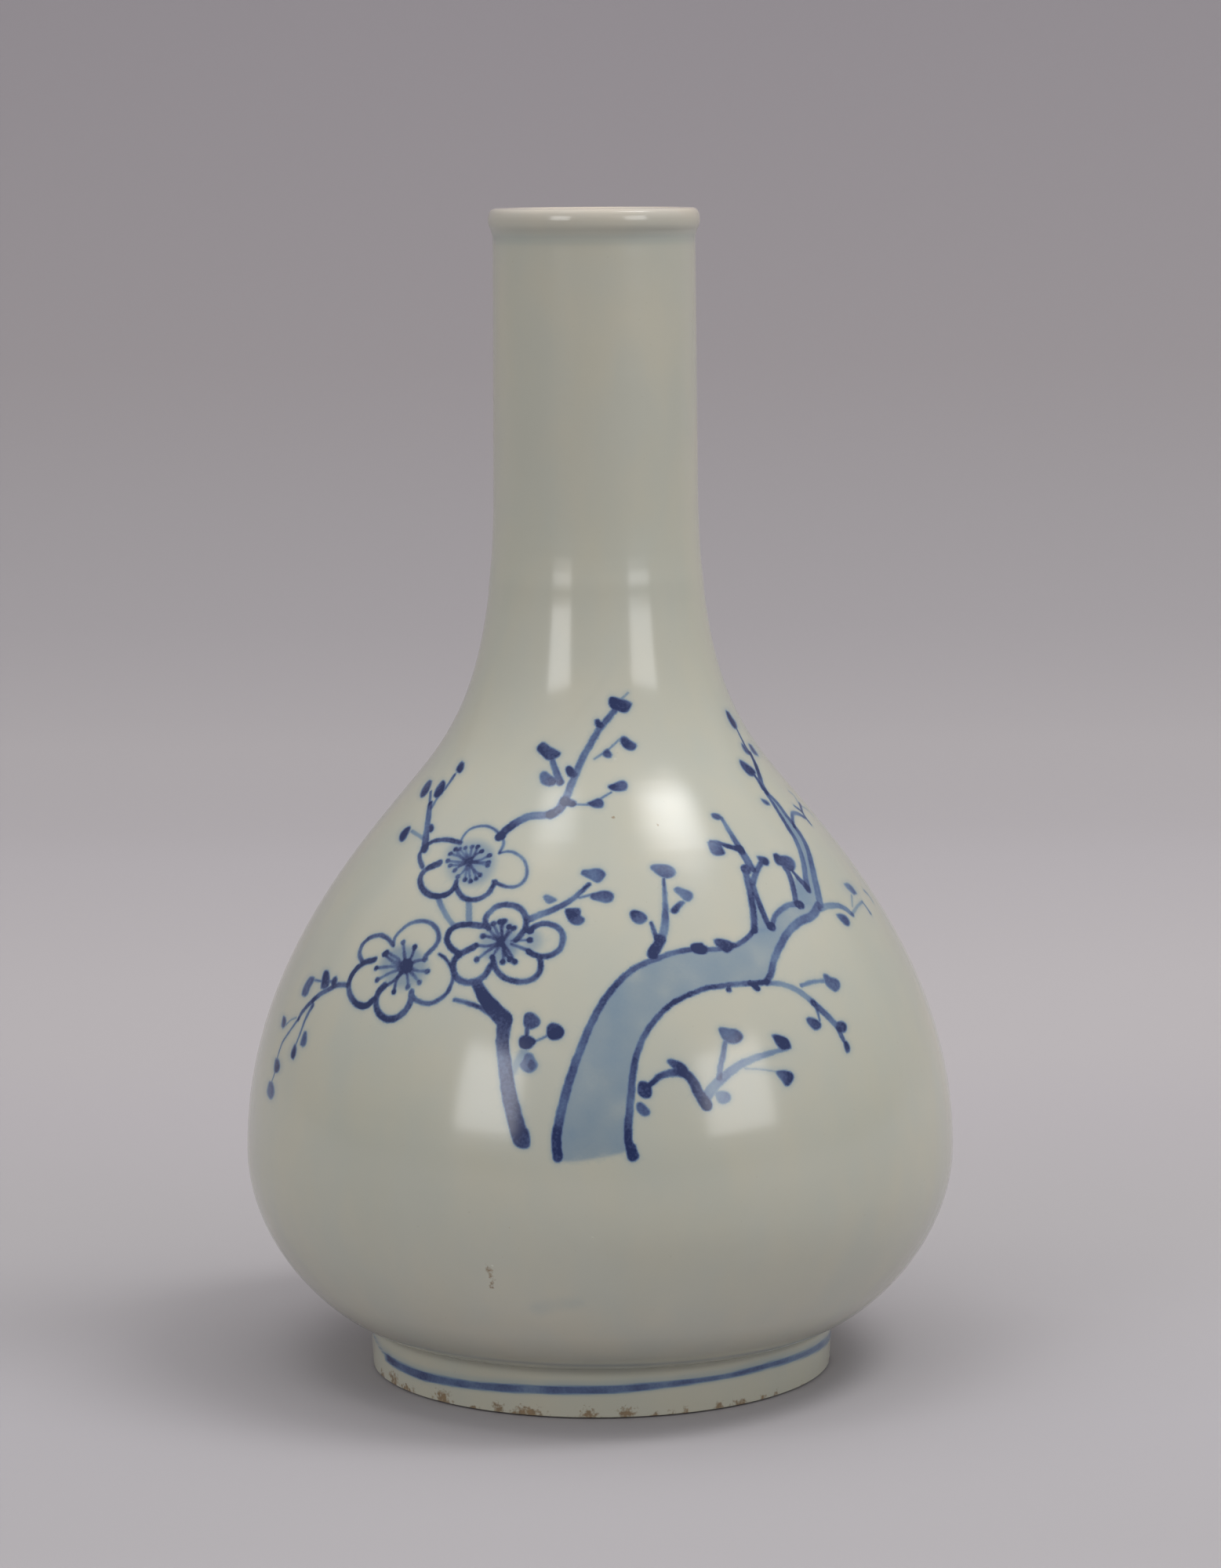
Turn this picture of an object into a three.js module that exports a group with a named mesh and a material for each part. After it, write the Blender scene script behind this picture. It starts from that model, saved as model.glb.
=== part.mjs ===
// A thrown porcelain bottle vase with a pear-shaped body, a tall neck and a rolled lip.
// Millimetres, +Z up, with the origin on the ground at the middle of the foot.
// The vessel is luted together from thrown clay sections with rings of slip, and then
// coated with glaze outside, inside and under the base.
import * as THREE from 'three';

// Driving sizes of the outside, measured on the glaze
const vaseHeight = 280;
const bellyRadius = 85.8;
const bellyHeight = 54;
const shoulderRadius = 39.4;
const shoulderHeight = 150;
const neckRadius = 24.1;
const neckTaper = 0.4;
const neckFootHeight = 214;

// The foot ring
const footRadius = 56.4;
const footTaper = 0.6;
const footHeight = 11;
const footWidth = 10;
const footEdgeBevel = 1.2;

// The crease where the body leaves the foot, and the direction in which it leaves
const creaseLedge = 1.8;
const creaseRise = 1.5;
const creaseMiddleRise = 1.1;
const creaseSlope = THREE.MathUtils.degToRad(17);
const shoulderSlope = THREE.MathUtils.degToRad(54);

// How far each curve of the outline runs along its end directions
const lowerStartReach = 10.3;
const bellyReachDown = 21.3;
const bellyReachUp = 48.5;
const shoulderReachDown = 18.5;
const shoulderReachUp = 15.8;
const neckReachDown = 35;

// The rolled lip
const lipOverhang = 1.1;
const lipHeight = 5.6;
const lipWidth = 5.4;
const lipGrooveHeight = 1.2;

// Thickness of the clay, of the slip in the joints, and of the glaze coats
const lowerWall = 8;
const bellyWall = 6;
const shoulderWall = 5.5;
const neckWall = 4.6;
const floorThickness = 9;
const slipThickness = 1.2;
const outerGlazeThickness = 0.5;
const innerGlazeThickness = 0.4;
const baseGlazeThickness = 0.4;

// Bare clay left at the ground, outside and inside the foot ring
const outerBareHeight = 1.8;
const innerBareHeight = 2.4;

// How finely the round forms are cut
const turnSegments = 40;
const lowerSteps = 5;
const upperSteps = 7;
const neckCurveSteps = 4;
const lipSteps = 6;
const innerLipSteps = 3;
const floorSteps = 4;

// Height above the floor at which the inside begins to turn into it
const floorCornerRise = 5;

const porcelain = new THREE.MeshStandardMaterial({ color: 0xcfcabb, roughness: 0.85, metalness: 0 });
const driedSlip = new THREE.MeshStandardMaterial({ color: 0xd8d3c4, roughness: 0.9, metalness: 0 });
const bareFootClay = new THREE.MeshStandardMaterial({ color: 0x8a7458, roughness: 0.9, metalness: 0 });
const clearGlaze = new THREE.MeshStandardMaterial({ color: 0xbfbdae, roughness: 0.15, metalness: 0 });

const point = (radius, height) => new THREE.Vector2(radius, height);

// A direction in the half section, from its angle above the outward horizontal
const heading = (angle) => point(Math.cos(angle), Math.sin(angle));

function curveBetween(start, startDirection, startReach, end, endDirection, endReach) {
  const leave = start.clone().addScaledVector(startDirection, startReach);
  const arrive = end.clone().addScaledVector(endDirection, -endReach);
  return new THREE.CubicBezierCurve(start, leave, arrive, end);
}

// A station is a point of the outside with the direction square to the wall and into it
function station(at, along) {
  return { at, into: point(-along.y, along.x) };
}

// Stations along a curve from one parameter to its end
function stationsFrom(curve, first, steps) {
  const stations = [];
  for (let step = 0; step <= steps; step += 1) {
    const share = first + (1 - first) * step / steps;
    stations.push(station(curve.getPoint(share), curve.getTangent(share)));
  }
  return stations;
}

// The outline of the outside, from the foot to the crest of the lip
const upright = heading(Math.PI / 2);
const creasePoint = point(footRadius + creaseLedge, footHeight + creaseRise);
const bellyPoint = point(bellyRadius, bellyHeight);
const shoulderPoint = point(shoulderRadius, shoulderHeight);
const shoulderDirection = heading(Math.PI - shoulderSlope);
const neckFootPoint = point(neckRadius + neckTaper, neckFootHeight);
const lipFoot = vaseHeight - lipHeight;
const neckTopPoint = point(neckRadius, lipFoot - lipGrooveHeight);
const neckDirection = neckTopPoint.clone().sub(neckFootPoint).normalize();

const lowerCurve = curveBetween(
  creasePoint, heading(creaseSlope), lowerStartReach,
  bellyPoint, upright, bellyReachDown);
const upperCurve = curveBetween(
  bellyPoint, upright, bellyReachUp,
  shoulderPoint, shoulderDirection, shoulderReachDown);
const neckCurve = curveBetween(
  shoulderPoint, shoulderDirection, shoulderReachUp,
  neckFootPoint, neckDirection, neckReachDown);

// A joint's slip fills the first stretch of the curve above it, where a cubic curve sets
// off at three times its reach
const bellySlipEnd = slipThickness / (3 * bellyReachUp);
const neckSlipEnd = slipThickness / (3 * shoulderReachUp);

// The roll of the lip is a squarish oval, from its outer foot over the crest to the mouth
const lipCentre = point(neckRadius + lipOverhang - lipWidth / 2, vaseHeight - lipHeight / 2);
function lipStation(angle) {
  const across = Math.sign(Math.cos(angle)) * Math.sqrt(Math.abs(Math.cos(angle)));
  const at = point(lipCentre.x + lipWidth / 2 * across, lipCentre.y + lipHeight / 2 * Math.sin(angle));
  return { at, into: lipCentre.clone().sub(at).normalize() };
}
const lipFlankStart = -0.3 * Math.PI;
const lipCrest = 0.5 * Math.PI;
const lipMouth = Math.PI;

const bareEdgePoint = point(footRadius - footTaper * (1 - outerBareHeight / footHeight), outerBareHeight);
const footTopPoint = point(footRadius, footHeight);
const footDirection = footTopPoint.clone().sub(bareEdgePoint).normalize();
const creaseMiddle = point(footRadius + creaseLedge / 2, footHeight + creaseMiddleRise);

const outside = [station(bareEdgePoint, footDirection)];
const footTopStation = outside.push(station(footTopPoint, footDirection)) - 1;
const bodyFootStation = outside.push(station(
  creaseMiddle, creasePoint.clone().sub(footTopPoint).normalize())) - 1;
outside.push(...stationsFrom(lowerCurve, 0, lowerSteps));
const bellyStation = outside.length - 1;
outside.push(...stationsFrom(upperCurve, bellySlipEnd, upperSteps));
const shoulderStation = outside.length - 1;
outside.push(...stationsFrom(neckCurve, neckSlipEnd, neckCurveSteps));
const neckTopStation = outside.push(station(neckTopPoint, neckDirection)) - 1;
for (let step = 0; step <= lipSteps; step += 1) {
  outside.push(lipStation(lipFlankStart + (lipCrest - lipFlankStart) * step / lipSteps));
}
const crestStation = outside.length - 1;

const inward = (place, depth) => place.at.clone().addScaledVector(place.into, depth);
const clayOutside = outside.map((place) => inward(place, outerGlazeThickness));

// The clay grows thinner from the lower wall to the neck
const wallHeights = [footHeight, bellyHeight, shoulderHeight, neckFootHeight];
const wallSizes = [lowerWall, bellyWall, shoulderWall, neckWall];
function wallAt(height) {
  for (let span = 1; span < wallHeights.length; span += 1) {
    if (height < wallHeights[span]) {
      const low = wallHeights[span - 1];
      const share = THREE.MathUtils.clamp((height - low) / (wallHeights[span] - low), 0, 1);
      return THREE.MathUtils.lerp(wallSizes[span - 1], wallSizes[span], share);
    }
  }
  return neckWall;
}

// The inside of the clay at each station, of which those above the floor's corner are used
const clayInside = outside.slice(0, neckTopStation + 1).map((place) => (
  inward(place, outerGlazeThickness + wallAt(place.at.y))));
const floorTop = clayOutside[bodyFootStation].y + floorThickness;
const firstInnerStation = clayInside.findIndex((inside, index) => (
  index > bodyFootStation && inside.y > floorTop + floorCornerRise));

// The inside turns from the wall to a flat floor round the corner where the two would meet
const floorEdge = clayInside[firstInnerStation];
const floorFall = floorEdge.clone().sub(clayInside[firstInnerStation + 1]).normalize();
const cornerReach = (floorEdge.y - floorTop) / -floorFall.y;
const floorCorner = floorEdge.clone().addScaledVector(floorFall, cornerReach);
const floorFlatEdge = point(floorCorner.x - cornerReach, floorTop);
const floorCurve = new THREE.QuadraticBezierCurve(floorEdge, floorCorner, floorFlatEdge);
const clayFloor = [...floorCurve.getPoints(floorSteps), point(0, floorTop)];

// The clay inside the lip, from the crest down to the neck's inner wall
const clayLipInside = [];
for (let step = 1; step <= innerLipSteps; step += 1) {
  const place = lipStation(lipCrest + (lipMouth - lipCrest) * step / innerLipSteps);
  clayLipInside.push(inward(place, innerGlazeThickness));
}

// One closed half section turned about the vertical axis into a named piece
function turned(name, section, material) {
  const geometry = new THREE.LatheGeometry(section, turnSegments);
  geometry.rotateX(Math.PI / 2);
  const mesh = new THREE.Mesh(geometry, material);
  mesh.name = name;
  return mesh;
}

// A ring of the wall between two stations, with its section closed on itself
function wallRing(name, first, last, material) {
  const outer = clayOutside.slice(first, last + 1);
  const inner = clayInside.slice(first, last + 1).reverse();
  return turned(name, [...outer, ...inner, outer[0]], material);
}

const recessRadius = footRadius - outerGlazeThickness - footWidth;
const bodyUnderside = clayOutside[bodyFootStation].y;
const ringTop = clayOutside[footTopStation].y;

function footRing() {
  const ground = clayOutside[0];
  const section = [
    point(recessRadius, footEdgeBevel),
    point(recessRadius + footEdgeBevel, 0),
    point(ground.x - footEdgeBevel, 0),
    ground,
    clayOutside[footTopStation],
    point(recessRadius, ringTop),
    point(recessRadius, innerBareHeight),
  ];
  return turned('foot_ring', [...section, section[0]], bareFootClay);
}

function footSeam() {
  const section = [
    point(recessRadius, ringTop),
    clayOutside[footTopStation],
    clayOutside[bodyFootStation],
    point(recessRadius, bodyUnderside),
  ];
  return turned('foot_seam', [...section, section[0]], driedSlip);
}

function lowerBody() {
  const outer = clayOutside.slice(bodyFootStation, bellyStation + 1);
  const inner = clayInside.slice(firstInnerStation + 1, bellyStation + 1).reverse();
  const section = [
    point(0, bodyUnderside),
    point(recessRadius, bodyUnderside),
    ...outer,
    ...inner,
    ...clayFloor,
  ];
  return turned('lower_body', section, porcelain);
}

function lip() {
  const outer = clayOutside.slice(neckTopStation);
  const section = [...outer, ...clayLipInside, clayInside[neckTopStation]];
  return turned('lip', [...section, section[0]], porcelain);
}

function outerGlaze() {
  const surface = outside.map((place) => place.at);
  const section = [...surface, ...clayOutside.slice().reverse()];
  return turned('outer_glaze', [...section, section[0]], clearGlaze);
}

// The clay's inner face from the middle of the floor up to the crest of the lip
const clayInnerFace = [
  ...clayFloor.slice().reverse(),
  ...clayInside.slice(firstInnerStation + 1, neckTopStation + 1),
  ...clayLipInside.slice().reverse(),
  clayOutside[crestStation],
];

// The direction square to a path at one of its points, to the left of its travel
function squareTo(path, index) {
  const before = path[Math.max(index - 1, 0)];
  const after = path[Math.min(index + 1, path.length - 1)];
  const along = after.clone().sub(before).normalize();
  return point(-along.y, along.x);
}

function innerGlaze() {
  const surface = clayInnerFace.map((clay, index) => (
    clay.clone().addScaledVector(squareTo(clayInnerFace, index), innerGlazeThickness)));
  surface[0] = point(0, floorTop + innerGlazeThickness);
  surface[surface.length - 1] = outside[crestStation].at;
  return turned('inner_glaze', [...clayInnerFace, ...surface.reverse()], clearGlaze);
}

function baseGlaze() {
  const section = [
    point(0, bodyUnderside - baseGlazeThickness),
    point(recessRadius - baseGlazeThickness, bodyUnderside - baseGlazeThickness),
    point(recessRadius - baseGlazeThickness, innerBareHeight),
    point(recessRadius, innerBareHeight),
    point(recessRadius, ringTop),
    point(recessRadius, bodyUnderside),
    point(0, bodyUnderside),
  ];
  return turned('base_glaze', section, clearGlaze);
}

const claySections = new THREE.Group();
claySections.add(
  footRing(),
  lowerBody(),
  wallRing('upper_body', bellyStation + 1, shoulderStation, porcelain),
  wallRing('neck', shoulderStation + 1, neckTopStation, porcelain),
  lip());

const slipJoints = new THREE.Group();
slipJoints.add(
  footSeam(),
  wallRing('belly_seam', bellyStation, bellyStation + 1, driedSlip),
  wallRing('neck_seam', shoulderStation, shoulderStation + 1, driedSlip));

const glazeCoats = new THREE.Group();
glazeCoats.add(outerGlaze(), innerGlaze(), baseGlaze());

const vase = new THREE.Group();
vase.add(claySections, slipJoints, glazeCoats);

export default vase;
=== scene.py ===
# %% [markdown]
# # A blue-and-white porcelain bottle vase
#
# The vase is a thrown porcelain bottle, some 28 cm tall: a pear-shaped body on a low foot ring,
# a tall neck and a small rolled lip. Plum blossom is painted on the clay in cobalt, and a clear
# bluish-grey glaze lies over it. This lesson builds the looks round a imported model whose solids
# are already right: it turns smooth glaze coats, refines the mesh where the brush went, and gives
# the glaze, with the cobalt under it, and the bare clay materials of their own. Lengths are in
# millimetres, up to the places where a value is multiplied by MM for Blender, which works in
# metres. Only the paper sweep and the lamps are given in metres from the start.

# %% Imports and the imported model
import math

import bmesh
import bpy
import numpy as np
from mathutils import Matrix, Vector, noise


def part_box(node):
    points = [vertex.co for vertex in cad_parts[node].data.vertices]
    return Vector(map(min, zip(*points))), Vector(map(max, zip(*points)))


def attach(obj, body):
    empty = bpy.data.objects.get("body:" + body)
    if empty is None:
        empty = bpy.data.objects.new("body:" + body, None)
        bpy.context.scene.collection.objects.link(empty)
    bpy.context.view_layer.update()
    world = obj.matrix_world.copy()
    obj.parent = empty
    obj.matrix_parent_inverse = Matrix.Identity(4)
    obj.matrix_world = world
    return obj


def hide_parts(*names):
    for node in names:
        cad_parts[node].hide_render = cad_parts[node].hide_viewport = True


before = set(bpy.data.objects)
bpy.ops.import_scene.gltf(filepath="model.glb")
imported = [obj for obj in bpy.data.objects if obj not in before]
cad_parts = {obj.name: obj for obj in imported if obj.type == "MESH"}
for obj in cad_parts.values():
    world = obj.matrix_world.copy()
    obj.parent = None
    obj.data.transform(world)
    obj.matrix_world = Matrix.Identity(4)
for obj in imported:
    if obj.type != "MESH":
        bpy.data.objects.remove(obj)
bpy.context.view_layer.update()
MM = 0.001
vase_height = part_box("outer_glaze")[1].z / MM
print("packed pieces:", len(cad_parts), "height in mm:", round(vase_height, 2))

# %% [markdown]
# ## The camera
#
# The photograph was taken from a little above the lip, looking down by about 8 degrees, with a
# long lens. A camera could be placed by eye, but the painting is traced from the photograph, so
# the camera has to be the photograph's own. Its distance, height and tilt were fitted to the
# outline of the vase, and the rays through its pixels carry the brushwork onto the glaze below.

# %% The camera of the photograph
photo_width = 1557
photo_height = 2000
lens_in_pixels = 5791.8
sensor_height_mm = 24
camera_place = np.array((3.07, -1085.71, 291.31))
pitch_down = math.radians(7.832)
roll = math.radians(-0.371)

camera_data = bpy.data.cameras.new("photograph_camera")
camera_data.sensor_fit = "VERTICAL"
camera_data.sensor_height = sensor_height_mm
camera_data.lens = lens_in_pixels / photo_height * sensor_height_mm
camera = bpy.data.objects.new("photograph_camera", camera_data)
bpy.context.scene.collection.objects.link(camera)
camera_turn = Matrix.Rotation(math.pi / 2 - pitch_down, 3, "X") @ Matrix.Rotation(roll, 3, "Z")
camera.matrix_world = Matrix.Translation(Vector(camera_place) * MM) @ camera_turn.to_4x4()
bpy.context.scene.camera = camera
print("lens in mm:", round(camera_data.lens, 2))


def pixel_rays(pixels):
    """Directions from the camera through pixels of the photograph."""
    pixels = np.asarray(pixels, float)
    across = (pixels[:, 0] - photo_width / 2) / lens_in_pixels
    up = (photo_height / 2 - pixels[:, 1]) / lens_in_pixels
    rays = np.stack([across, up, -np.ones(len(pixels))], axis=1)
    return rays @ np.array(camera_turn).T


# %% [markdown]
# ## The outline
#
# A potter shapes the outside with a rib, so it is one flowing line with a few corners: the toe
# of the glaze above the ground, the crease over the foot ring, the groove under the lip. The
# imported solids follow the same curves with 40 flat sides. Here the curves are drawn finely, and
# a short running average over the arc length rounds the corners as the glaze rounds them.

# %% The outline of the outside, in millimetres of radius and height
foot_radius = 56.4
bare_edge = (foot_radius - 0.45, 0.45)
foot_top = (foot_radius, 11)
crease_middle = (foot_radius + 0.9, 12.1)
crease = (foot_radius + 1.8, 12.5)
crease_rise = 17
crease_reach = 10.3
belly = (85.8, 54)
belly_reaches = (21.3, 48.5)
shoulder = (39.4, 150)
shoulder_lean = 126
shoulder_reaches = (18.5, 15.8)
neck_foot = (24.5, 214)
neck_foot_reach = 35
neck_top = (24.1, 273.2)
lip_half_width = 2.7
lip_half_height = 2.8
lip_centre = np.array((22.5, vase_height - lip_half_height))
lip_groove_degrees = -54
glaze_thickness = 0.5
outline_step = 0.1
corner_rounding = 0.9
print("height over width:", round(vase_height / 2 / belly[0], 3))


# %% Curves, and paths with their points evenly apart
def heading(degrees):
    """A direction in the section, by its angle up from level."""
    angle = math.radians(degrees)
    return np.array((math.cos(angle), math.sin(angle)))


def curve(start, start_heading, start_reach, end, end_heading, end_reach):
    """A cubic curve between two points, with its reach along each end's heading."""
    start = np.array(start, float)
    end = np.array(end, float)
    leave = start + start_reach * start_heading
    arrive = end - end_reach * end_heading
    share = np.linspace(0, 1, 240)[:, None]
    rest = 1 - share
    return rest**3 * start + 3 * rest**2 * share * leave + 3 * rest * share**2 * arrive + share**3 * end


def lip_roll(first_degrees, last_degrees):
    """Part of the lip's squarish oval, from an outer angle over the crest to the mouth."""
    angle = np.radians(np.linspace(first_degrees, last_degrees, 160))
    across = np.sign(np.cos(angle)) * np.sqrt(np.abs(np.cos(angle)))
    return lip_centre + np.stack([lip_half_width * across, lip_half_height * np.sin(angle)], axis=1)


def evenly(points, step):
    """The same path with its points one step apart."""
    points = np.asarray(points, float)
    gaps = np.hypot(*np.diff(points, axis=0).T)
    points = points[np.append(True, gaps > 1e-6)]
    length = np.append(0, np.cumsum(np.hypot(*np.diff(points, axis=0).T)))
    places = np.linspace(0, length[-1], max(2, round(length[-1] / step) + 1))
    return np.stack([np.interp(places, length, axis) for axis in points.T], axis=1)


def rounded(points, rounding):
    """The path with its corners averaged over a short window, and its two ends kept."""
    half = max(1, round(rounding / outline_step / 2))
    weights = np.hanning(2 * half + 3)[1:-1]
    weights = weights / weights.sum()
    ends = [np.repeat(points[:1], half, axis=0), points, np.repeat(points[-1:], half, axis=0)]
    padded = np.concatenate(ends)
    smooth = np.stack([np.convolve(axis, weights, "valid") for axis in padded.T], axis=1)
    smooth[0] = points[0]
    smooth[-1] = points[-1]
    return smooth


# %% The outside, from the bare edge to the crest of the lip
upright = heading(90)
shoulder_heading = heading(shoulder_lean)
neck_heading = np.array(neck_top, float) - np.array(neck_foot, float)
neck_heading = neck_heading / np.hypot(*neck_heading)
outside = np.concatenate([
    [bare_edge, foot_top, crease_middle],
    curve(crease, heading(crease_rise), crease_reach, belly, upright, belly_reaches[0]),
    curve(belly, upright, belly_reaches[1], shoulder, shoulder_heading, shoulder_reaches[0])[1:],
    curve(
        shoulder, shoulder_heading, shoulder_reaches[1], neck_foot, neck_heading,
        neck_foot_reach)[1:],
    [neck_top],
    lip_roll(lip_groove_degrees, 90),
])
outside = rounded(evenly(outside, outline_step), corner_rounding)

# %% Glaze pools in the crease and the groove, and one throwing ring on the neck
glaze_pools = [(12.4, 3.4), (273.5, 2.0)]
pool_fade = 0.8
for pool_height, pool_width in glaze_pools:
    pooled = rounded(outside, pool_width)
    share = np.exp(-((outside[:, 1] - pool_height) / (pool_fade * pool_width))**2)[:, None]
    outside = outside + share * (pooled - outside)
throwing_ring_height = 192.2
throwing_ring_reach = 3.2
throwing_ring_swell = 0.13
from_ring = (outside[:, 1] - throwing_ring_height) / throwing_ring_reach
outside[:, 0] += throwing_ring_swell * np.exp(-from_ring**2)
outside_length = np.append(0, np.cumsum(np.hypot(*np.diff(outside, axis=0).T)))
along = np.gradient(outside, axis=0)
along = along / np.hypot(*along.T)[:, None]
outward = np.stack([along[:, 1], -along[:, 0]], axis=1)
print("outline in mm:", round(outside_length[-1], 1), "with", len(outside), "points")


def outline_at(length):
    """Radius and height at lengths along the outline."""
    return np.stack([np.interp(length, outside_length, axis) for axis in outside.T], axis=1)


def outward_at(length):
    """The direction square to the outline at lengths along it."""
    square = np.stack([np.interp(length, outside_length, axis) for axis in outward.T], axis=1)
    return square / np.hypot(*square.T)[:, None]


def length_at_height(height):
    """The length along the outline at which it has climbed to a height."""
    return float(np.interp(height, np.maximum.accumulate(outside[:, 1]), outside_length))


# %% [markdown]
# ## Brushwork on a curved surface
#
# The painter drew plum branches with a loaded brush. Each stroke could be a line of pixels in an
# image, or ink that follows a curve. Here a stroke is a few traced points of the photograph, with
# the brush's width in millimetres at both ends and the strength of its cobalt. The points are joined
# by a smooth curve, and the camera's rays carry them onto the glaze.

# %% From pixels to places on the glaze
stroke_step_px = 3
search_margin = 20
search_depth = 200
first_stride = 4.0
stride_halvings = 14
most_strides = 60


def on_glaze(pixels):
    """Where the camera's rays through some pixels first meet the outside, in millimetres."""
    rays = pixel_rays(pixels)
    rays = rays / np.linalg.norm(rays, axis=1)[:, None]
    search_start = -camera_place[1] - belly[0] - search_margin
    reach = np.full(len(rays), search_start)
    stride = first_stride
    for halving in range(stride_halvings):
        for walk in range(most_strides):
            places = camera_place + (reach + stride)[:, None] * rays
            radius = np.hypot(places[:, 0], places[:, 1])
            wall = np.interp(places[:, 2], np.maximum.accumulate(outside[:, 1]), outside[:, 0])
            clear = (radius > wall) & (reach < search_start + search_depth)
            if not clear.any():
                break
            reach = np.where(clear, reach + stride, reach)
        stride = stride / 2
    return camera_place + reach[:, None] * rays


def smooth_path(points, closed=False):
    """A smooth curve through a stroke's points, in steps of a few pixels."""
    points = np.array(points, float)
    if len(points) == 1:
        return points
    if closed:
        padded = np.concatenate([points[-1:], points, points[:2]])
    else:
        padded = np.concatenate([2 * points[:1] - points[1:2], points, 2 * points[-1:] - points[-2:-1]])
    path = [points[:1]]
    for index in range(len(padded) - 3):
        first, start, end, last = padded[index:index + 4]
        steps = max(1, round(float(np.hypot(*(end - start))) / stroke_step_px))
        share = np.linspace(0, 1, steps + 1)[1:, None]
        bend = 2 * first - 5 * start + 4 * end - last
        swing = 3 * start - first - 3 * end + last
        path.append(start + 0.5 * share * (end - first + share * (bend + share * swing)))
    return np.concatenate(path)


# %% Stamens, which bend a little to one side and the other
stamen_middle = 0.55
stamen_sway = 0.08
stamen_turn = 2.4


def stamens(hub, tips, share, root_mm, tip_mm, ink, dot_mm, dot_ink):
    """Fine strokes from the hub of a blossom out to its tips, each with a dot of pollen."""
    marks = []
    for index, tip in enumerate(tips):
        across, down = tip[0] - hub[0], tip[1] - hub[1]
        root = (hub[0] + across * share, hub[1] + down * share)
        sway = stamen_sway * math.sin(stamen_turn * index)
        middle = (
            hub[0] + stamen_middle * across - sway * down,
            hub[1] + stamen_middle * down + sway * across)
        marks.append(([root, middle, tip], root_mm, tip_mm, ink))
        marks.append(([tip], dot_mm, dot_mm, dot_ink))
    return marks


# %% What the brush leaves, in pixels of the photograph
# A stroke is its points, its first and last width in millimetres, and its ink from 0 to 1.
# A bud is the points of its rim and its ink.
# A wash is the points of its rim, its ink, and half the width of its soft edge in pixels.
brushwork = []
buds = []
washes = []


def tell(what):
    """Prints how much has been painted, once a part of the branch is done."""
    print(what, "done:", len(brushwork), "strokes,", len(buds), "buds and", len(washes), "washes")


# %% Blossom A
brushwork += [
    ([(587, 1074), (592, 1065), (599, 1058), (610, 1054), (622, 1054), (632, 1059), (640, 1068),
      (642, 1077), (637, 1088)], 0.6, 0.7, 0.68),
    ([(637, 1088), (649, 1086), (659, 1089), (668, 1097), (672, 1107), (671, 1118), (665, 1127),
      (656, 1131), (646, 1131), (637, 1128), (629, 1124)], 0.6, 0.85, 0.74),
    ([(631, 1125), (628, 1131), (623, 1139), (614, 1145), (604, 1148), (593, 1146), (586, 1140),
      (581, 1131), (582, 1124)], 1.2, 1.2, 0.86),
    ([(580, 1131), (575, 1137), (566, 1142), (554, 1143), (544, 1139), (537, 1130), (536, 1119),
      (542, 1110), (550, 1106), (560, 1101)], 1.3, 1.5, 0.86),
    ([(546, 1106.5), (560, 1101)], 1.3, 1.8, 0.95),
    ([(539, 1106), (535.5, 1097), (536, 1088), (542, 1080), (553, 1073), (566, 1071), (580, 1073),
      (587, 1075)], 1.1, 1.2, 0.84),
]
blossom_a_stamens = [(602, 1080), (609, 1080), (614, 1086), (624, 1091), (623, 1100), (622, 1104),
    (612, 1116), (607, 1121), (600, 1124), (593, 1122), (584, 1118), (580, 1110), (574, 1104),
    (571, 1098), (574, 1089), (581, 1083), (586, 1083), (593, 1082)]
brushwork += stamens((598, 1100), blossom_a_stamens, 0.05, 0.85, 0.65, 0.74, 1.15, 0.92)
blossom_a_wash = [(574, 1080), (588, 1074), (612, 1073), (628, 1084), (631, 1104), (622, 1121),
    (600, 1129), (578, 1123), (567, 1101)]
washes.append((blossom_a_wash, 0.3, 9))
washes.append(([(588, 1092), (606, 1090), (611, 1104), (598, 1112), (587, 1104)], 0.5, 8))
tell("blossom A")

# %% Blossom B
brushwork += [
    ([(620, 1182), (619, 1172), (625, 1163), (634, 1156), (646, 1154), (658, 1156), (667, 1163),
      (671, 1173), (670, 1184), (665, 1191), (658, 1199)], 1.25, 1.4, 0.9),
    ([(674, 1187), (683, 1181), (694, 1178), (706, 1180), (715, 1187), (718, 1197), (715, 1209),
      (706, 1217), (694, 1220), (682, 1218), (674, 1214)], 1.25, 1.25, 0.9),
    ([(688, 1221), (690, 1232), (685, 1244), (674, 1251), (661, 1252), (647, 1249), (637, 1242),
      (631, 1233), (629, 1224)], 1.25, 1.25, 0.9),
    ([(625, 1232), (620, 1242), (610, 1250), (598, 1253), (586, 1250), (579, 1241), (578, 1229),
      (583, 1220), (592, 1214), (604, 1208)], 1.4, 1.5, 0.92),
    ([(586, 1217), (575, 1209), (570, 1199), (573, 1188), (583, 1181), (598, 1179), (613, 1181),
      (622, 1181)], 1.3, 1.4, 0.92),
    ([(676, 1188)], 1.4, 1.4, 0.9),
    ([(676, 1199)], 1.4, 1.4, 0.9),
    ([(652, 1204), (673, 1212)], 0.6, 0.9, 0.75),
    ([(652, 1200), (674, 1199)], 0.6, 0.6, 0.65),
]
blossom_b_stamens = [(629, 1178), (637, 1176), (643, 1175), (649, 1182), (655, 1184), (656, 1227),
    (650, 1224), (641, 1227), (628, 1221), (608, 1224), (607, 1206), (616, 1194), (623, 1184)]
brushwork += stamens((640, 1202), blossom_b_stamens, 0.05, 0.9, 0.7, 0.72, 1.3, 0.92)
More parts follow.
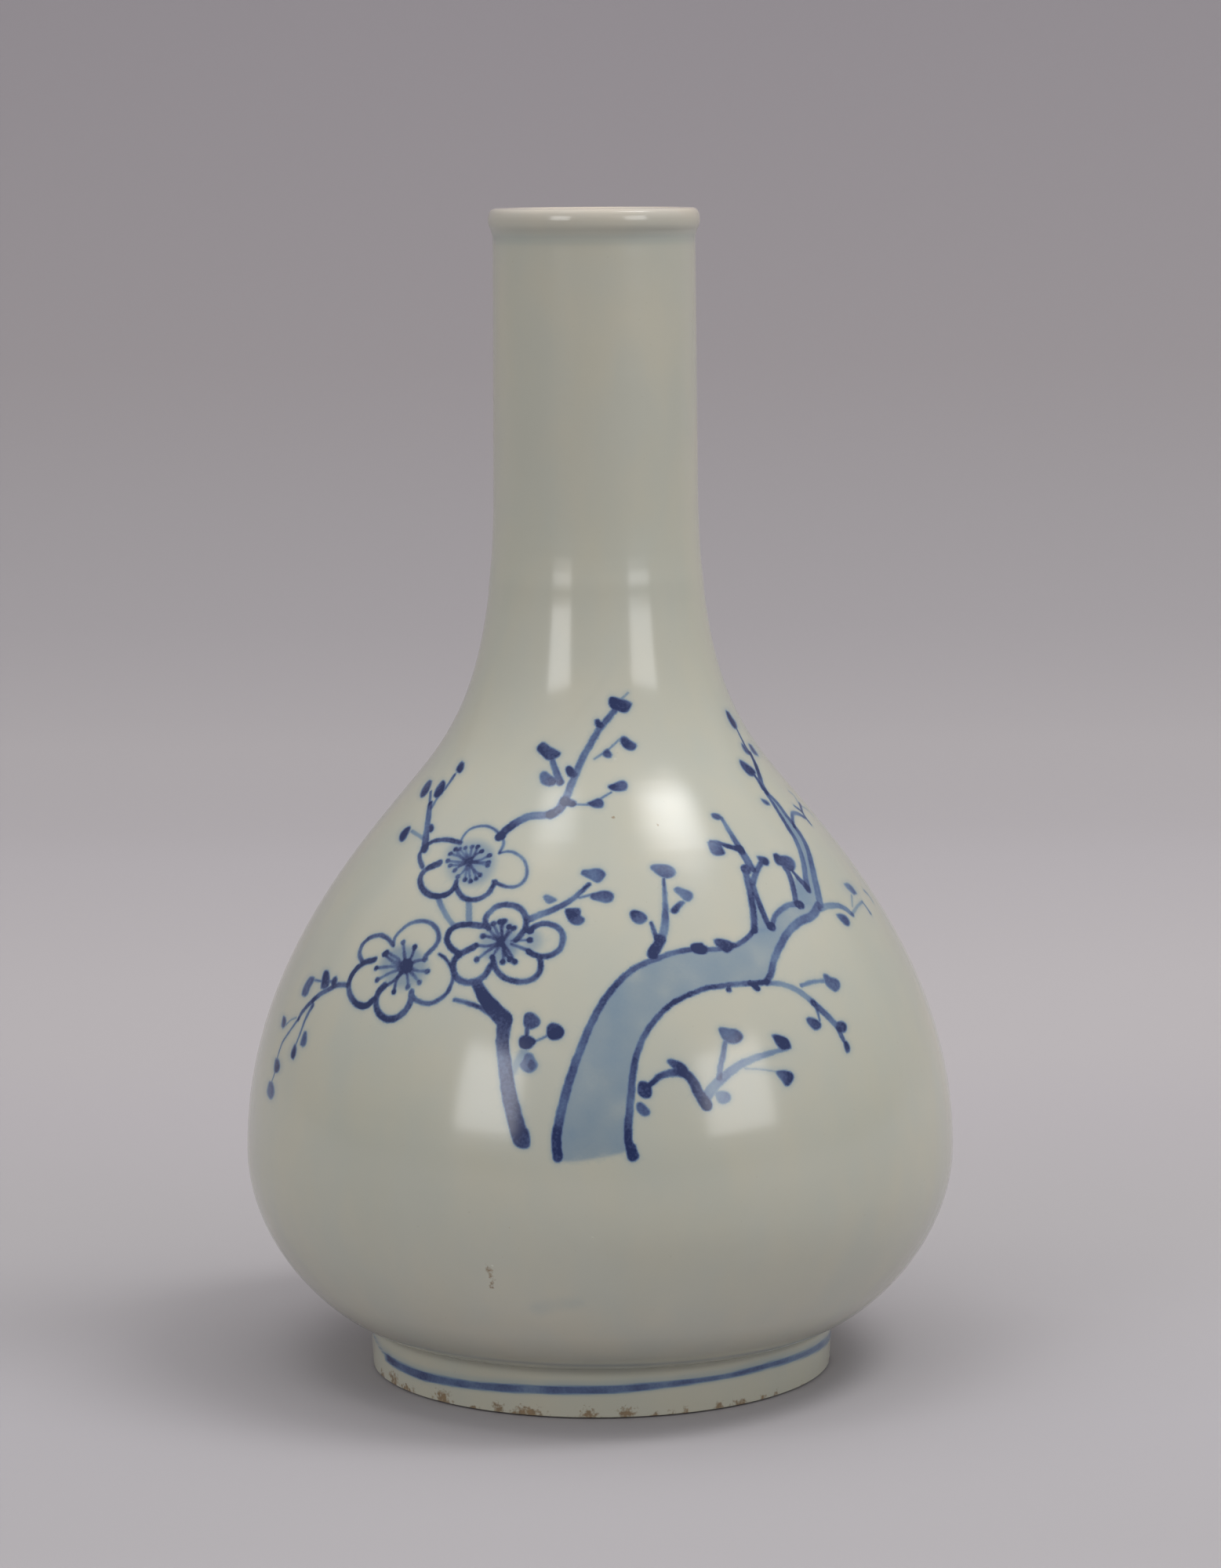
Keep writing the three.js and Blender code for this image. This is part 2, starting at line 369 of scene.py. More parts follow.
blossom_b_wash = [(616, 1184), (634, 1172), (654, 1176), (662, 1192), (659, 1216), (640, 1229),
    (618, 1222), (611, 1202)]
washes.append((blossom_b_wash, 0.3, 9))
washes.append(([(668, 1188), (684, 1186), (692, 1200), (684, 1214), (668, 1216)], 0.24, 9))
washes.append(([(628, 1194), (648, 1192), (653, 1206), (640, 1215), (627, 1207)], 0.42, 8))
tell("blossom B")

# %% Blossom C
brushwork += [
    ([(516, 1233), (518, 1233)], 3.4, 3.4, 0.95),
    ([(502, 1206), (503, 1197), (511, 1187), (523, 1178), (536, 1175), (548, 1177), (557, 1185),
      (559.5, 1197), (554, 1208), (544, 1218), (541.5, 1224)], 0.8, 1.15, 0.82),
    ([(560, 1217), (569, 1224), (576, 1236), (577, 1250), (571, 1265), (560, 1275), (547, 1280),
      (533, 1277), (524, 1269)], 0.7, 1.15, 0.86),
    ([(525, 1265), (523, 1278), (517, 1289), (506, 1298), (494, 1300), (484, 1293), (479.5, 1280),
      (482.5, 1266), (490, 1257)], 1.5, 1.6, 0.92),
    ([(477, 1275), (466, 1283), (454, 1280), (446, 1268), (445, 1253), (452.5, 1238), (464.5, 1228),
      (478, 1224)], 1.5, 1.35, 0.92),
    ([(463, 1229), (458.5, 1218), (461.5, 1206), (472, 1196), (484, 1193), (494, 1197),
      (502, 1206)], 1.2, 0.95, 0.88),
]
blossom_c_stamens = [(514, 1202), (529, 1208), (542, 1224), (545, 1239), (535, 1253), (520, 1259),
    (502, 1265), (490, 1259), (481, 1250), (479.5, 1235), (490, 1217), (493, 1215)]
brushwork += stamens((517, 1233), blossom_c_stamens, 0.15, 0.95, 0.75, 0.8, 1.25, 0.92)
blossom_c_wash = [(492, 1216), (510, 1205), (534, 1212), (546, 1230), (538, 1252), (518, 1262),
    (494, 1254), (484, 1236)]
washes.append((blossom_c_wash, 0.32, 9))
tell("blossom C")

# %% Stems between the blossoms
brushwork += [
    ([(559, 1145), (565, 1160), (577, 1179)], 1.2, 1.1, 0.5),
    ([(598, 1148), (598, 1179)], 1.4, 1.4, 0.5),
]
tell("stems between the blossoms")

# %% Upper-left twig
brushwork += [
    ([(542, 1082), (543, 1067), (545, 1052), (547, 1037), (548.5, 1025)], 1.9, 1.4, 0.8),
    ([(548, 1025), (549, 1010)], 0.8, 0.8, 0.6),
    ([(550, 1031), (559, 1016), (569, 1004), (580, 988)], 0.9, 0.9, 0.6),
    ([(525, 1060), (539, 1069)], 0.8, 0.9, 0.5),
]
buds += [
    ([(581.5, 982), (584.5, 975.5), (589, 970.5), (592, 973), (591, 981), (586, 986.5)], 0.9),
    ([(553, 1015.5), (555.5, 1006.5), (560.5, 999), (565, 995), (568, 999), (565.5, 1010),
      (560, 1016.5), (555.5, 1018)], 0.95),
    ([(535.5, 1015), (537, 1009), (542, 1000.5), (548, 994.5), (551, 996), (547, 1008),
      (541, 1016), (536.5, 1017.5)], 0.95),
    ([(509, 1070), (510.5, 1063.5), (516.5, 1056.5), (523, 1053.5), (524, 1056), (521.5, 1062),
      (516.5, 1071), (511.5, 1074)], 0.9),
    ([(547, 1052), (551.5, 1051), (553.5, 1056), (551.5, 1060.5), (547, 1062)], 0.95),
    ([(536.5, 1081), (541, 1076.5), (546, 1079), (546.5, 1082), (542, 1088.5), (537, 1086.5)], 0.95),
]
tell("upper-left twig")

# %% Upper branch
brushwork += [
    ([(637, 1067.5), (639, 1066.5)], 2.1, 2.1, 0.95),
    ([(640, 1064), (650, 1055), (664, 1046), (676, 1041), (691, 1040), (704, 1038), (714, 1031),
      (722, 1017), (727, 1005), (735.5, 984), (743, 967), (752.5, 950), (762, 933), (773, 919.5),
      (784, 906)], 2.0, 1.3, 0.7),
    ([(702, 1039), (713, 1032), (720, 1020)], 2.2, 2.0, 0.7),
    ([(720, 1022), (730, 1025)], 2.1, 1.7, 0.95),
    ([(792, 892), (801, 883.5)], 0.5, 0.3, 0.6),
    ([(789, 944), (775, 957)], 0.4, 0.4, 0.6),
    ([(768, 961.5), (758, 968)], 0.5, 0.4, 0.6),
    ([(704.5, 971), (709, 985), (714, 998)], 1.2, 1.8, 0.75),
    ([(733, 1026), (750, 1026.5)], 0.5, 0.5, 0.6),
    ([(762, 1021), (779.5, 1010.5)], 0.6, 0.4, 0.6),
]
buds += [
    ([(777, 890), (782, 888.5), (791, 891), (799, 893), (805.5, 897), (804.5, 902), (800, 908.5),
      (793.5, 909), (788, 907), (780, 904), (776, 898)], 1.0),
    ([(758.5, 918), (763.5, 917), (766.5, 920.5), (771, 923), (770.5, 928), (765.5, 929.5),
      (759.5, 926.5), (758, 921)], 0.95),
    ([(790.5, 942), (793.5, 939), (798, 939.5), (804.5, 944.5), (811.5, 949), (812, 952),
      (809, 956.5), (803.5, 957.5), (796.5, 954.5), (792, 949)], 0.95),
    ([(775, 954.5), (778, 958), (781, 963), (779, 966.5), (773, 966.5), (768, 963), (768.5, 959.5),
      (772, 956)], 0.85),
    ([(684.5, 953.5), (689, 948), (694, 946.5), (700, 951), (708, 955.5), (715.5, 960.5),
      (713.5, 964.5), (706.5, 968.5), (702, 970), (696.5, 969), (691, 963.5), (685.5, 958)], 1.0),
    ([(688.5, 987), (693, 983.5), (697, 984), (702, 988.5), (708, 992), (710, 996), (708, 1001),
      (701, 1003), (694, 1001.5), (689.5, 998), (688, 992)], 0.9),
    ([(721.5, 979), (724.5, 976.5), (729, 978), (734.5, 983), (738, 987), (736.5, 991), (731, 993),
      (724.5, 990), (721.5, 984.5)], 0.9),
    ([(775, 1004.5), (775.5, 1002), (782, 999.5), (790, 996), (795.5, 995.5), (799.5, 998.5),
      (800.5, 1003.5), (798, 1008), (791, 1009.5), (781, 1008.5)], 0.85),
    ([(748, 1024.5), (755.5, 1021), (762, 1018), (767, 1019), (770, 1023.5), (769, 1029.5),
      (763.5, 1031), (755.5, 1029.5)], 0.8),
]
tell("upper branch")

# %% Twig right of blossom B
brushwork += [
    ([(674, 1173), (688, 1167), (706, 1160), (724, 1151), (736, 1142), (751, 1128)], 1.6, 1.0, 0.8),
    ([(739, 1145), (755, 1141)], 0.6, 0.6, 0.6),
]
buds += [
    ([(740.5, 1114.5), (743, 1109.5), (750, 1109), (757.5, 1107.5), (765, 1108), (770, 1111),
      (772.5, 1115.5), (769.5, 1121), (765, 1125.5), (760, 1126), (754, 1122.5), (745, 1118)], 0.78),
    ([(752, 1145), (754, 1139.5), (760, 1138), (767.5, 1136), (776.5, 1136.5), (782, 1140),
      (783, 1144.5), (780, 1150), (772.5, 1152), (764, 1150), (755, 1147.5)], 0.8),
    ([(692.5, 1144), (696, 1141), (702.5, 1142.5), (709.5, 1146.5), (710, 1149), (700, 1153),
      (695.5, 1150)], 0.75),
    ([(720, 1162.5), (721, 1159), (730, 1158), (739, 1158.5), (741, 1162.5), (740.5, 1167.5),
      (745, 1170.5), (745.5, 1175), (741, 1179.5), (735, 1180.5), (727.5, 1177.5), (723, 1171)], 0.88),
    ([(728, 1163), (735, 1163), (737, 1169), (731, 1170)], 1.0),
]
tell("twig right of blossom B")

# %% Twig above the trunk
brushwork += [
    ([(846.5, 1121), (848, 1150), (848.5, 1170), (846, 1190), (840, 1205), (832, 1216)],
     0.6, 2.3, 0.7),
    ([(843, 1198), (832, 1217)], 2.0, 2.3, 0.95),
    ([(830, 1177), (834, 1188), (839, 1200)], 0.7, 1.4, 0.9),
]
buds += [
    ([(829, 1107), (831.5, 1103), (840, 1102), (851.5, 1103), (859, 1107), (862, 1112.5),
      (859, 1118), (851, 1120.5), (844, 1119), (836, 1114)], 0.72),
    ([(803, 1165), (806, 1161), (812.5, 1161), (821, 1164.5), (825.5, 1170), (824, 1175),
      (817.5, 1179), (810, 1177.5), (805, 1172.5)], 0.92),
    ([(859, 1134), (864, 1131), (873, 1134), (882, 1138), (884, 1144), (879, 1150), (873, 1149),
      (867, 1143), (861, 1138)], 0.75),
    ([(867, 1149), (874, 1151), (868, 1158), (863, 1165), (857, 1165), (855, 1160)], 0.75),
]
tell("twig above the trunk")

# %% Trunk
trunk_left_edge = [(711, 1476), (709.5, 1452), (715, 1421), (722, 1393), (730, 1367), (740, 1339),
    (751.5, 1311), (764.5, 1285), (778.5, 1265), (794, 1247.5), (808, 1236)]
trunk_upper_edge = [(808, 1236), (823.5, 1228), (843, 1221), (864, 1214), (888, 1211), (909, 1211),
    (932, 1208), (949, 1199.5), (961.5, 1187)]
trunk_right_edge = [(805, 1468), (801.5, 1458), (801, 1437), (803, 1416), (806, 1380),
    (808.5, 1360), (813, 1342), (819.5, 1325), (828.5, 1310), (839, 1297), (849, 1286.5),
    (860, 1278)]
trunk_lower_edge = [(860, 1278), (878, 1269), (899, 1261), (920, 1257.5), (941, 1255), (959, 1254),
    (977, 1253)]
fork_right_edge = [(977, 1253), (983, 1242), (987, 1224), (995, 1206), (1005, 1189), (1019, 1176),
    (1035, 1168), (1044, 1155)]
brushwork += [
    (trunk_left_edge, 2.1, 1.3, 0.84),
    (trunk_upper_edge, 1.3, 1.1, 0.76),
    (trunk_right_edge, 1.8, 1.1, 0.87),
    (trunk_lower_edge, 1.1, 1.2, 0.88),
    (fork_right_edge, 1.5, 2.1, 0.75),
    ([(962, 1187), (961, 1167), (958, 1145), (953, 1122), (950, 1109)], 1.6, 1.7, 0.78),
    ([(805, 1464), (807, 1474)], 1.9, 2.4, 0.92),
    ([(960, 1128), (965, 1144), (972, 1162), (981, 1182)], 1.3, 1.5, 0.75),
    ([(984, 1182)], 2.1, 2.1, 0.85),
    ([(985, 1178), (989, 1168), (998, 1159), (1008, 1154), (1020, 1154)], 1.2, 1.4, 0.72),
    ([(1018.5, 1154), (1021.5, 1154)], 2.0, 2.0, 0.85),
    ([(1001, 1107), (1006, 1114), (1010, 1126), (1013, 1138), (1015, 1150),
      (1019, 1156)], 1.6, 1.5, 0.8),
    ([(929, 1262)], 1.3, 1.3, 0.95),
    ([(957, 1253), (966, 1261)], 1.1, 1.3, 0.95),
]
buds += [
    ([(880, 1206), (884, 1203), (890, 1202.5), (896, 1202.5), (898, 1205.5), (902, 1207),
      (903, 1213), (900, 1217), (893, 1217.5), (886, 1216), (881, 1212)], 0.95),
    ([(910, 1198.5), (914, 1197), (921, 1197.5), (929, 1199.5), (934, 1202), (940, 1203),
      (941, 1207), (936, 1210), (932, 1213.5), (927, 1216), (921, 1213), (916, 1209),
      (912, 1205)], 0.95),
]
trunk_wash = [
    *trunk_left_edge, *trunk_upper_edge[1:], (984, 1182), (990, 1168), (1008, 1155), (1020, 1154),
    *fork_right_edge[::-1], *trunk_lower_edge[-2::-1], *trunk_right_edge[-2:0:-1], (805, 1466),
    (797, 1470), (760, 1478), (722, 1482)]
washes.append((trunk_wash, 0.3, 4))
fork_wash = [(962, 1188), (961, 1167), (958, 1145), (953, 1122), (960, 1128), (965, 1144),
    (972, 1162), (983, 1184)]
washes.append((fork_wash, 0.3, 3))
tell("trunk")

# %% Middle branch
brushwork += [
    ([(920, 1043.5), (926, 1053), (933, 1065), (940, 1076), (946, 1086)], 0.9, 1.7, 0.75),
    ([(944, 1083), (952, 1096), (958, 1107)], 1.9, 2.1, 0.85),
    ([(951, 1109)], 2.4, 2.4, 0.95),
    ([(906, 1073.5), (916, 1075), (927, 1079), (941, 1083)], 0.8, 1.4, 0.85),
    ([(970, 1101), (965, 1111), (960, 1125)], 1.2, 1.5, 0.8),
    ([(1011, 1112), (1019, 1121), (1030, 1133)], 0.9, 1.9, 0.8),
]
buds += [
    ([(906.5, 1038.5), (909, 1037), (914, 1037.5), (919, 1040), (921, 1044.5), (917, 1046),
      (912, 1045), (908, 1042.5)], 0.95),
    ([(902, 1074), (906, 1072), (914, 1072.5), (920, 1077), (922, 1082), (925, 1088), (921, 1091),
      (913, 1091.5), (907, 1088), (904, 1081)], 0.82),
    ([(964.5, 1092), (968, 1091.5), (975, 1093), (979.5, 1096), (981, 1101), (979.5, 1104),
      (974, 1103.5), (969, 1100), (966, 1095.5)], 0.95),
    ([(986, 1089), (990, 1088), (995, 1091), (1002, 1091), (1009, 1094), (1013.5, 1099),
      (1014.5, 1105), (1012, 1111), (1008, 1112), (1002, 1109), (998, 1105), (992, 1103.5),
      (988, 1099), (986.5, 1094)], 0.92),
]
tell("middle branch")

# %% Right tall branch
brushwork += [
    ([(977, 1012), (986, 1025), (996, 1041), (1006.5, 1058), (1015, 1072), (1022, 1090),
      (1026, 1108), (1028, 1123), (1031, 1135)], 1.1, 1.8, 0.75),
    ([(978, 1011), (990, 1023), (1002, 1039), (1013, 1053.5), (1022, 1067), (1029, 1081),
      (1034, 1098), (1038, 1117), (1042, 1135), (1046, 1153)], 1.2, 2.1, 0.66),
    ([(957, 961), (963, 974), (968, 988), (971, 999), (977, 1010)], 1.2, 1.6, 0.85),
    ([(939, 929), (945, 941), (950, 951), (956, 961)], 0.55, 1.0, 0.8),
    ([(961, 987), (967, 996), (973, 1006)], 0.9, 1.3, 0.9),
    ([(1006, 1009), (1013, 1015.5), (1019, 1026)], 0.35, 0.45, 0.45),
    ([(1013, 1028), (1021, 1034)], 0.8, 1.0, 0.65),
    ([(1020, 1025), (1023, 1035), (1026, 1041), (1034, 1051.5)], 1.0, 0.9, 0.75),
    ([(1022, 1028), (1030, 1033), (1036, 1040)], 0.5, 0.4, 0.3),
    ([(1025, 1042), (1018, 1038), (1011, 1037), (1010.5, 1045), (1013, 1055)], 1.2, 1.0, 0.65),
]
buds += [
    ([(925.5, 906), (929, 908), (933, 914), (938, 921), (940, 928), (938, 930), (935, 928),
      (930.5, 921), (927, 913)], 0.95),
    ([(945.5, 948), (948.5, 950), (952, 954), (956, 959), (957, 963.5), (953, 962), (949, 958),
      (946.5, 953)], 0.9),
    ([(954.5, 948.5), (958, 950), (962, 956), (965, 960), (967, 964.5), (963, 963), (959, 959),
      (956.5, 954)], 0.75),
    ([(943, 969), (948, 971), (955, 976), (961, 981), (964, 986), (962, 990), (956, 989.5),
      (950, 984), (945.5, 978), (943, 972)], 0.95),
    ([(970, 1018.5), (974, 1019.5), (979, 1022), (982, 1027), (978, 1027), (973, 1023.5)], 0.9),
]
right_tall_branch_wash = [(976, 1010), (986, 1025), (996, 1041), (1006.5, 1058), (1015, 1072),
    (1023, 1088), (1027, 1102), (1030, 1117), (1030, 1135), (1014, 1117), (1018, 1152),
    (1045, 1153), (1041, 1133), (1038, 1117), (1035, 1100), (1030, 1082), (1023, 1068),
    (1013, 1053.5), (1002, 1039), (990, 1023), (978, 1011)]
washes.append((right_tall_branch_wash, 0.33, 3))
tell("right tall branch")

# %% Right lower twig
brushwork += [
    ([(1046, 1159), (1056, 1155.5), (1068, 1155), (1078, 1159), (1086, 1166)], 1.5, 1.4, 0.6),
    ([(1087, 1166)], 1.3, 1.3, 0.7),
    ([(1088, 1164), (1094, 1155), (1100, 1150)], 0.9, 0.6, 0.4),
    ([(1086, 1142), (1087, 1156)], 0.6, 0.5, 0.4),
    ([(1102, 1136), (1107, 1141), (1113, 1150)], 0.9, 0.6, 0.5),
    ([(1100, 1151), (1104, 1156), (1110, 1165)], 0.5, 0.8, 0.65),
]
buds += [
    ([(1066, 1166), (1070, 1165), (1076, 1166.5), (1081, 1170.5), (1084, 1177), (1082, 1181.5),
      (1077, 1179.5), (1072, 1174.5), (1068, 1170)], 0.8),
    ([(1076, 1127), (1080, 1126), (1085, 1129), (1089, 1134), (1092.5, 1140), (1089, 1141.5),
      (1084, 1137), (1079, 1132)], 0.72),
]
tell("right lower twig")

# %% Right-down branch
brushwork += [
    ([(977, 1254), (995, 1255), (1010, 1260), (1023, 1267), (1037, 1279)], 1.0, 1.5, 0.6),
    ([(1037, 1279), (1052, 1293), (1065, 1306), (1070, 1313)], 1.6, 1.5, 0.72),
    ([(1069, 1312), (1073, 1321), (1078, 1331)], 1.5, 0.9, 0.75),
    ([(1022, 1257), (1034, 1253), (1050, 1251)], 0.9, 0.9, 0.6),
    ([(1040, 1283), (1043, 1292), (1045, 1301)], 0.9, 0.6, 0.65),
]
buds += [
    ([(1049.5, 1243), (1054.5, 1242.5), (1059, 1246), (1066, 1248), (1070.5, 1252), (1071.5, 1258),
      (1069, 1263), (1065, 1265.5), (1061, 1263), (1056, 1259.5), (1052, 1254)], 0.88),
    ([(1028, 1299), (1031, 1297), (1038, 1298.5), (1044, 1302), (1047.5, 1306.5), (1047, 1310.5),
      (1043, 1313.5), (1038.5, 1314), (1033, 1309), (1029, 1303.5)], 0.92),
    ([(1066, 1304), (1073, 1302.5), (1078, 1305), (1080, 1309.5), (1079, 1315), (1075, 1317.5),
      (1069, 1316), (1066, 1310)], 0.88),
    ([(1075.5, 1329), (1079, 1327.5), (1082, 1331), (1084, 1336.5), (1083, 1342), (1080, 1343.5),
      (1077.5, 1339)], 0.95),
]
tell("right-down branch")

# %% Lower-right twig
brushwork += [
    ([(829, 1384), (840, 1374), (852, 1369), (865, 1368), (876, 1371), (884, 1380), (890, 1392),
      (896, 1402), (901, 1409)], 1.1, 2.5, 0.9),
    ([(902, 1397), (915, 1381), (938, 1362), (959, 1351), (980, 1344), (1007, 1336)], 2.3, 0.8, 0.55),
    ([(917, 1375), (919, 1360), (922, 1345), (925, 1330)], 1.3, 1.1, 0.6),
    ([(950, 1363), (970, 1364), (991, 1367)], 0.4, 0.4, 0.35),
]
buds += [
    ([(815, 1380), (821, 1379), (828, 1382), (831, 1388), (831, 1397), (827, 1401), (820, 1400.5),
      (813.5, 1395), (813, 1387)], 1.0),
    ([(812, 1407), (818, 1406), (824, 1411), (829, 1417), (828, 1422), (822, 1424), (816, 1421),
      (811.5, 1415)], 0.92),
    ([(850, 1354), (854, 1350.5), (861, 1352), (869, 1355), (875, 1360), (878, 1366), (872, 1371),
      (862, 1370), (858, 1363)], 0.92),
    ([(916, 1312), (921, 1310), (929, 1311.5), (938, 1312.5), (944, 1316), (948, 1322), (945, 1328),
      (938, 1331.5), (930, 1331), (923, 1327), (918.5, 1320)], 0.82),
    ([(984, 1320), (988, 1319), (996, 1321), (1003, 1324), (1007, 1329), (1009, 1337), (1003, 1339),
      (997, 1339.5), (991, 1334), (987, 1327)], 0.94),
    ([(989, 1367), (995, 1365), (1003, 1365.5), (1010, 1368), (1012.5, 1374), (1010, 1380),
      (1006, 1385), (1001, 1385), (997, 1379), (992, 1373)], 0.9),
    ([(912, 1393), (920, 1391.5), (928, 1393), (932, 1398), (931, 1404), (924, 1408), (917, 1407),
      (913, 1400)], 0.6),
]
tell("lower-right twig")

# %% Left drooping twig
brushwork += [
    ([(443, 1257), (432, 1256), (424, 1259.5), (410, 1267), (400, 1275)], 1.1, 1.4, 0.85),
    ([(400, 1275), (391, 1284), (384, 1293), (380.5, 1300)], 1.3, 1.1, 0.85),
    ([(381, 1299), (376, 1306), (369, 1316), (361, 1328), (357, 1338), (353.5, 1350)],
     0.75, 0.5, 0.75),
    ([(350.5, 1368), (348.5, 1374), (346, 1381)], 0.55, 0.5, 0.65),
    ([(401, 1250), (410, 1251.5), (424, 1252)], 0.5, 0.7, 0.65),
    ([(365, 1307), (371, 1301), (378, 1298)], 0.45, 0.4, 0.5),
    ([(399, 1282), (394, 1291), (389, 1301), (385, 1312), (381, 1323), (377, 1333)],
     1.1, 0.5, 0.75),
]
buds += [
    ([(396, 1245.5), (401, 1246.5), (400, 1252), (396, 1259), (392, 1269), (388, 1271.5),
      (385, 1269.5), (385.5, 1264), (388, 1257), (392, 1250)], 0.9),
    ([(414, 1238), (418.5, 1238), (420, 1243), (420.5, 1251), (418.5, 1259), (412, 1262),
      (409, 1261), (410, 1252), (411.5, 1244)], 0.95),
    ([(424.5, 1247.5), (429, 1245), (430.5, 1248.5), (428.5, 1256), (424, 1258.5),
      (422, 1254)], 0.92),
    ([(361.5, 1295.5), (364, 1297.5), (365, 1304), (363, 1310), (360.5, 1312), (358.8, 1309),
      (359.8, 1302)], 0.75),
    ([(351.5, 1350), (355, 1350.5), (357, 1357.5), (356.5, 1363.5), (354, 1368), (350.5, 1368.5),
      (349.5, 1362)], 0.85),
    ([(343.5, 1379), (347, 1379.5), (349, 1385), (350, 1393), (348.5, 1399), (345.5, 1402.5),
      (342, 1399), (340.3, 1393), (341.5, 1385)], 0.8),
    ([(376, 1331.5), (378, 1336), (377.5, 1343), (376, 1348), (374, 1351.5), (371.5, 1349.5),
      (371, 1345), (372.5, 1339)], 0.92),
    ([(388, 1315.5), (390.5, 1315.5), (391.3, 1321), (391, 1329), (389, 1334), (386, 1335.5),
      (382.8, 1333), (383.7, 1327)], 0.92),
]
twig_wash = [(390, 1286), (398, 1280), (397, 1286), (389, 1297)]
washes.append((twig_wash, 0.15, 3))
tell("left drooping twig")

# %% Lower stump
brushwork += [
    ([(580, 1275), (595, 1279), (612, 1285), (625, 1293.5), (635, 1302)], 0.9, 1.2, 0.75),
    ([(609, 1256), (618, 1273), (631, 1288), (643, 1301)], 2.3, 3.6, 0.95),
    ([(643, 1300), (642, 1315), (641, 1330)], 3.2, 2.6, 0.95),
    ([(640, 1328), (644, 1360), (649, 1395), (657, 1428), (664, 1452)], 2.7, 3.5, 0.88),
    ([(672.5, 1312), (671.5, 1321)], 0.9, 0.9, 0.95),
    ([(683, 1328), (690, 1325), (698, 1321)], 0.5, 0.5, 0.6),
]
buds += [
    ([(652, 1438), (671, 1438), (676, 1452), (675, 1463), (668, 1465.5), (658, 1462),
      (654, 1453)], 0.95),
    ([(670, 1292.5), (676.5, 1290.8), (683, 1294), (689, 1301), (688, 1307.5), (682, 1311.5),
      (676, 1313.3), (670, 1311.5), (667.5, 1306), (667.8, 1298)], 1.0),
    ([(661.5, 1326), (665, 1321.5), (672, 1320), (680, 1323.5), (684, 1328.5), (680, 1334),
      (675, 1338), (668, 1338), (662.5, 1335)], 1.0),
    ([(698, 1308.5), (703.5, 1304.2), (711.5, 1306), (718, 1311.5), (719.7, 1317.5), (716, 1324),
      (708.5, 1327), (702, 1326), (697.5, 1321), (697, 1313.5)], 1.0),
    ([(670, 1344), (678, 1343.5), (683, 1351.5), (686.3, 1358.5), (683, 1365), (676.5, 1368.7),
      (670, 1367.5), (664, 1362.5), (662.5, 1357), (666.5, 1351.5)], 0.62),
    ([(677, 1350), (683, 1355), (684, 1362), (677, 1366), (672, 1361), (673, 1354)], 0.82),
]
washes.append(([(664, 1338), (674, 1340), (672, 1348), (664, 1358), (658, 1370), (652, 1372),
    (652, 1358), (658, 1347)], 0.3, 4))
tell("lower stump")

# %% Marks left by the clay and the kiln
smudge = [(674, 1668), (690, 1660), (715, 1656), (743, 1659), (738, 1667), (712, 1672), (688, 1676)]
washes.append((smudge, 0.05, 6))
tell("the smudge in the glaze")
iron_marks = [
    ([(621, 1617), (627, 1628), (627, 1642)], 1.6, 1.0, 0.7),
    ([(781, 1043)], 0.7, 0.7, 0.75),
    ([(838, 1052)], 0.6, 0.6, 0.75),
    ([(355, 1180)], 0.5, 0.5, 0.7),
    ([(752, 1575)], 0.5, 0.5, 0.6),
    ([(1010, 1478)], 0.5, 0.5, 0.6),
]
# Each patch of kiln sand has its angle from the front, half its width in degrees, and its height.
sand_patches = [
    (-150, 3.6, 3.0), (-121, 2.0, 2.4), (-96, 3.0, 2.8), (-71, 1.8, 3.2), (-63, 3.2, 5.0),
    (-56, 4.0, 2.8), (-42, 3.2, 4.6), (-32.5, 2.2, 1.6), (-25.5, 2.0, 3.8), (-18, 4.8, 3.6),
    (-3, 2.5, 3.8), (6, 2.6, 4.2), (13, 1.6, 1.8), (17, 1.2, 1.7), (20.5, 0.9, 2.8),
    (29.5, 1.5, 3.3), (35.5, 3.0, 2.5), (43, 1.4, 2.2), (47.5, 1.2, 2.2), (59, 1.0, 1.8),
    (84, 3.0, 2.5), (112, 2.0, 2.0), (139, 4.0, 3.0), (171, 2.4, 2.6)]
print("iron marks:", len(iron_marks), "patches of kiln sand round the foot:", len(sand_patches))

# %% [markdown]
# ## Reading the brushwork
#
# Cobalt has no thickness, but its edges have to stay crisp on the mesh. Each stroke becomes short
# segments on the glaze, with half a width at each end, and each bud and wash becomes a closed
# shape as the camera sees it. The distance from any point to the nearest edge then says two
# things: where the mesh needs small faces, and how much cobalt lies there.

# %% Strokes as short segments on the glaze
ink_edge = 0.3
ink_spread = 1.14
halo_reach = 1.3
halo_ink = 0.085
far_from_paint = 9.0
dot_length = 0.05
mm_per_pixel = (-camera_place[1] - belly[0]) / lens_in_pixels


def place_stroke(points, first_mm, last_mm, ink):
    """A stroke on the glaze; a single point becomes a very short stroke, which is a dot."""
    path = on_glaze(smooth_path(points))
    if len(path) == 1:
        path = np.concatenate([path, path + (dot_length, 0, 0)])
    length = np.append(0, np.cumsum(np.linalg.norm(np.diff(path, axis=0), axis=1)))
    share = length / length[-1]
    half_width = ink_spread * (first_mm + (last_mm - first_mm) * share) / 2
    return {"path": path, "half_width": half_width, "share": share, "ink": ink, "length": length[-1]}


def closed_shape(points, ink, softness):
    """The rim of a bud or a wash in pixels, with its ink and half the width of its soft edge."""
    return {"rim": smooth_path(points, closed=True), "ink": ink, "softness": softness}


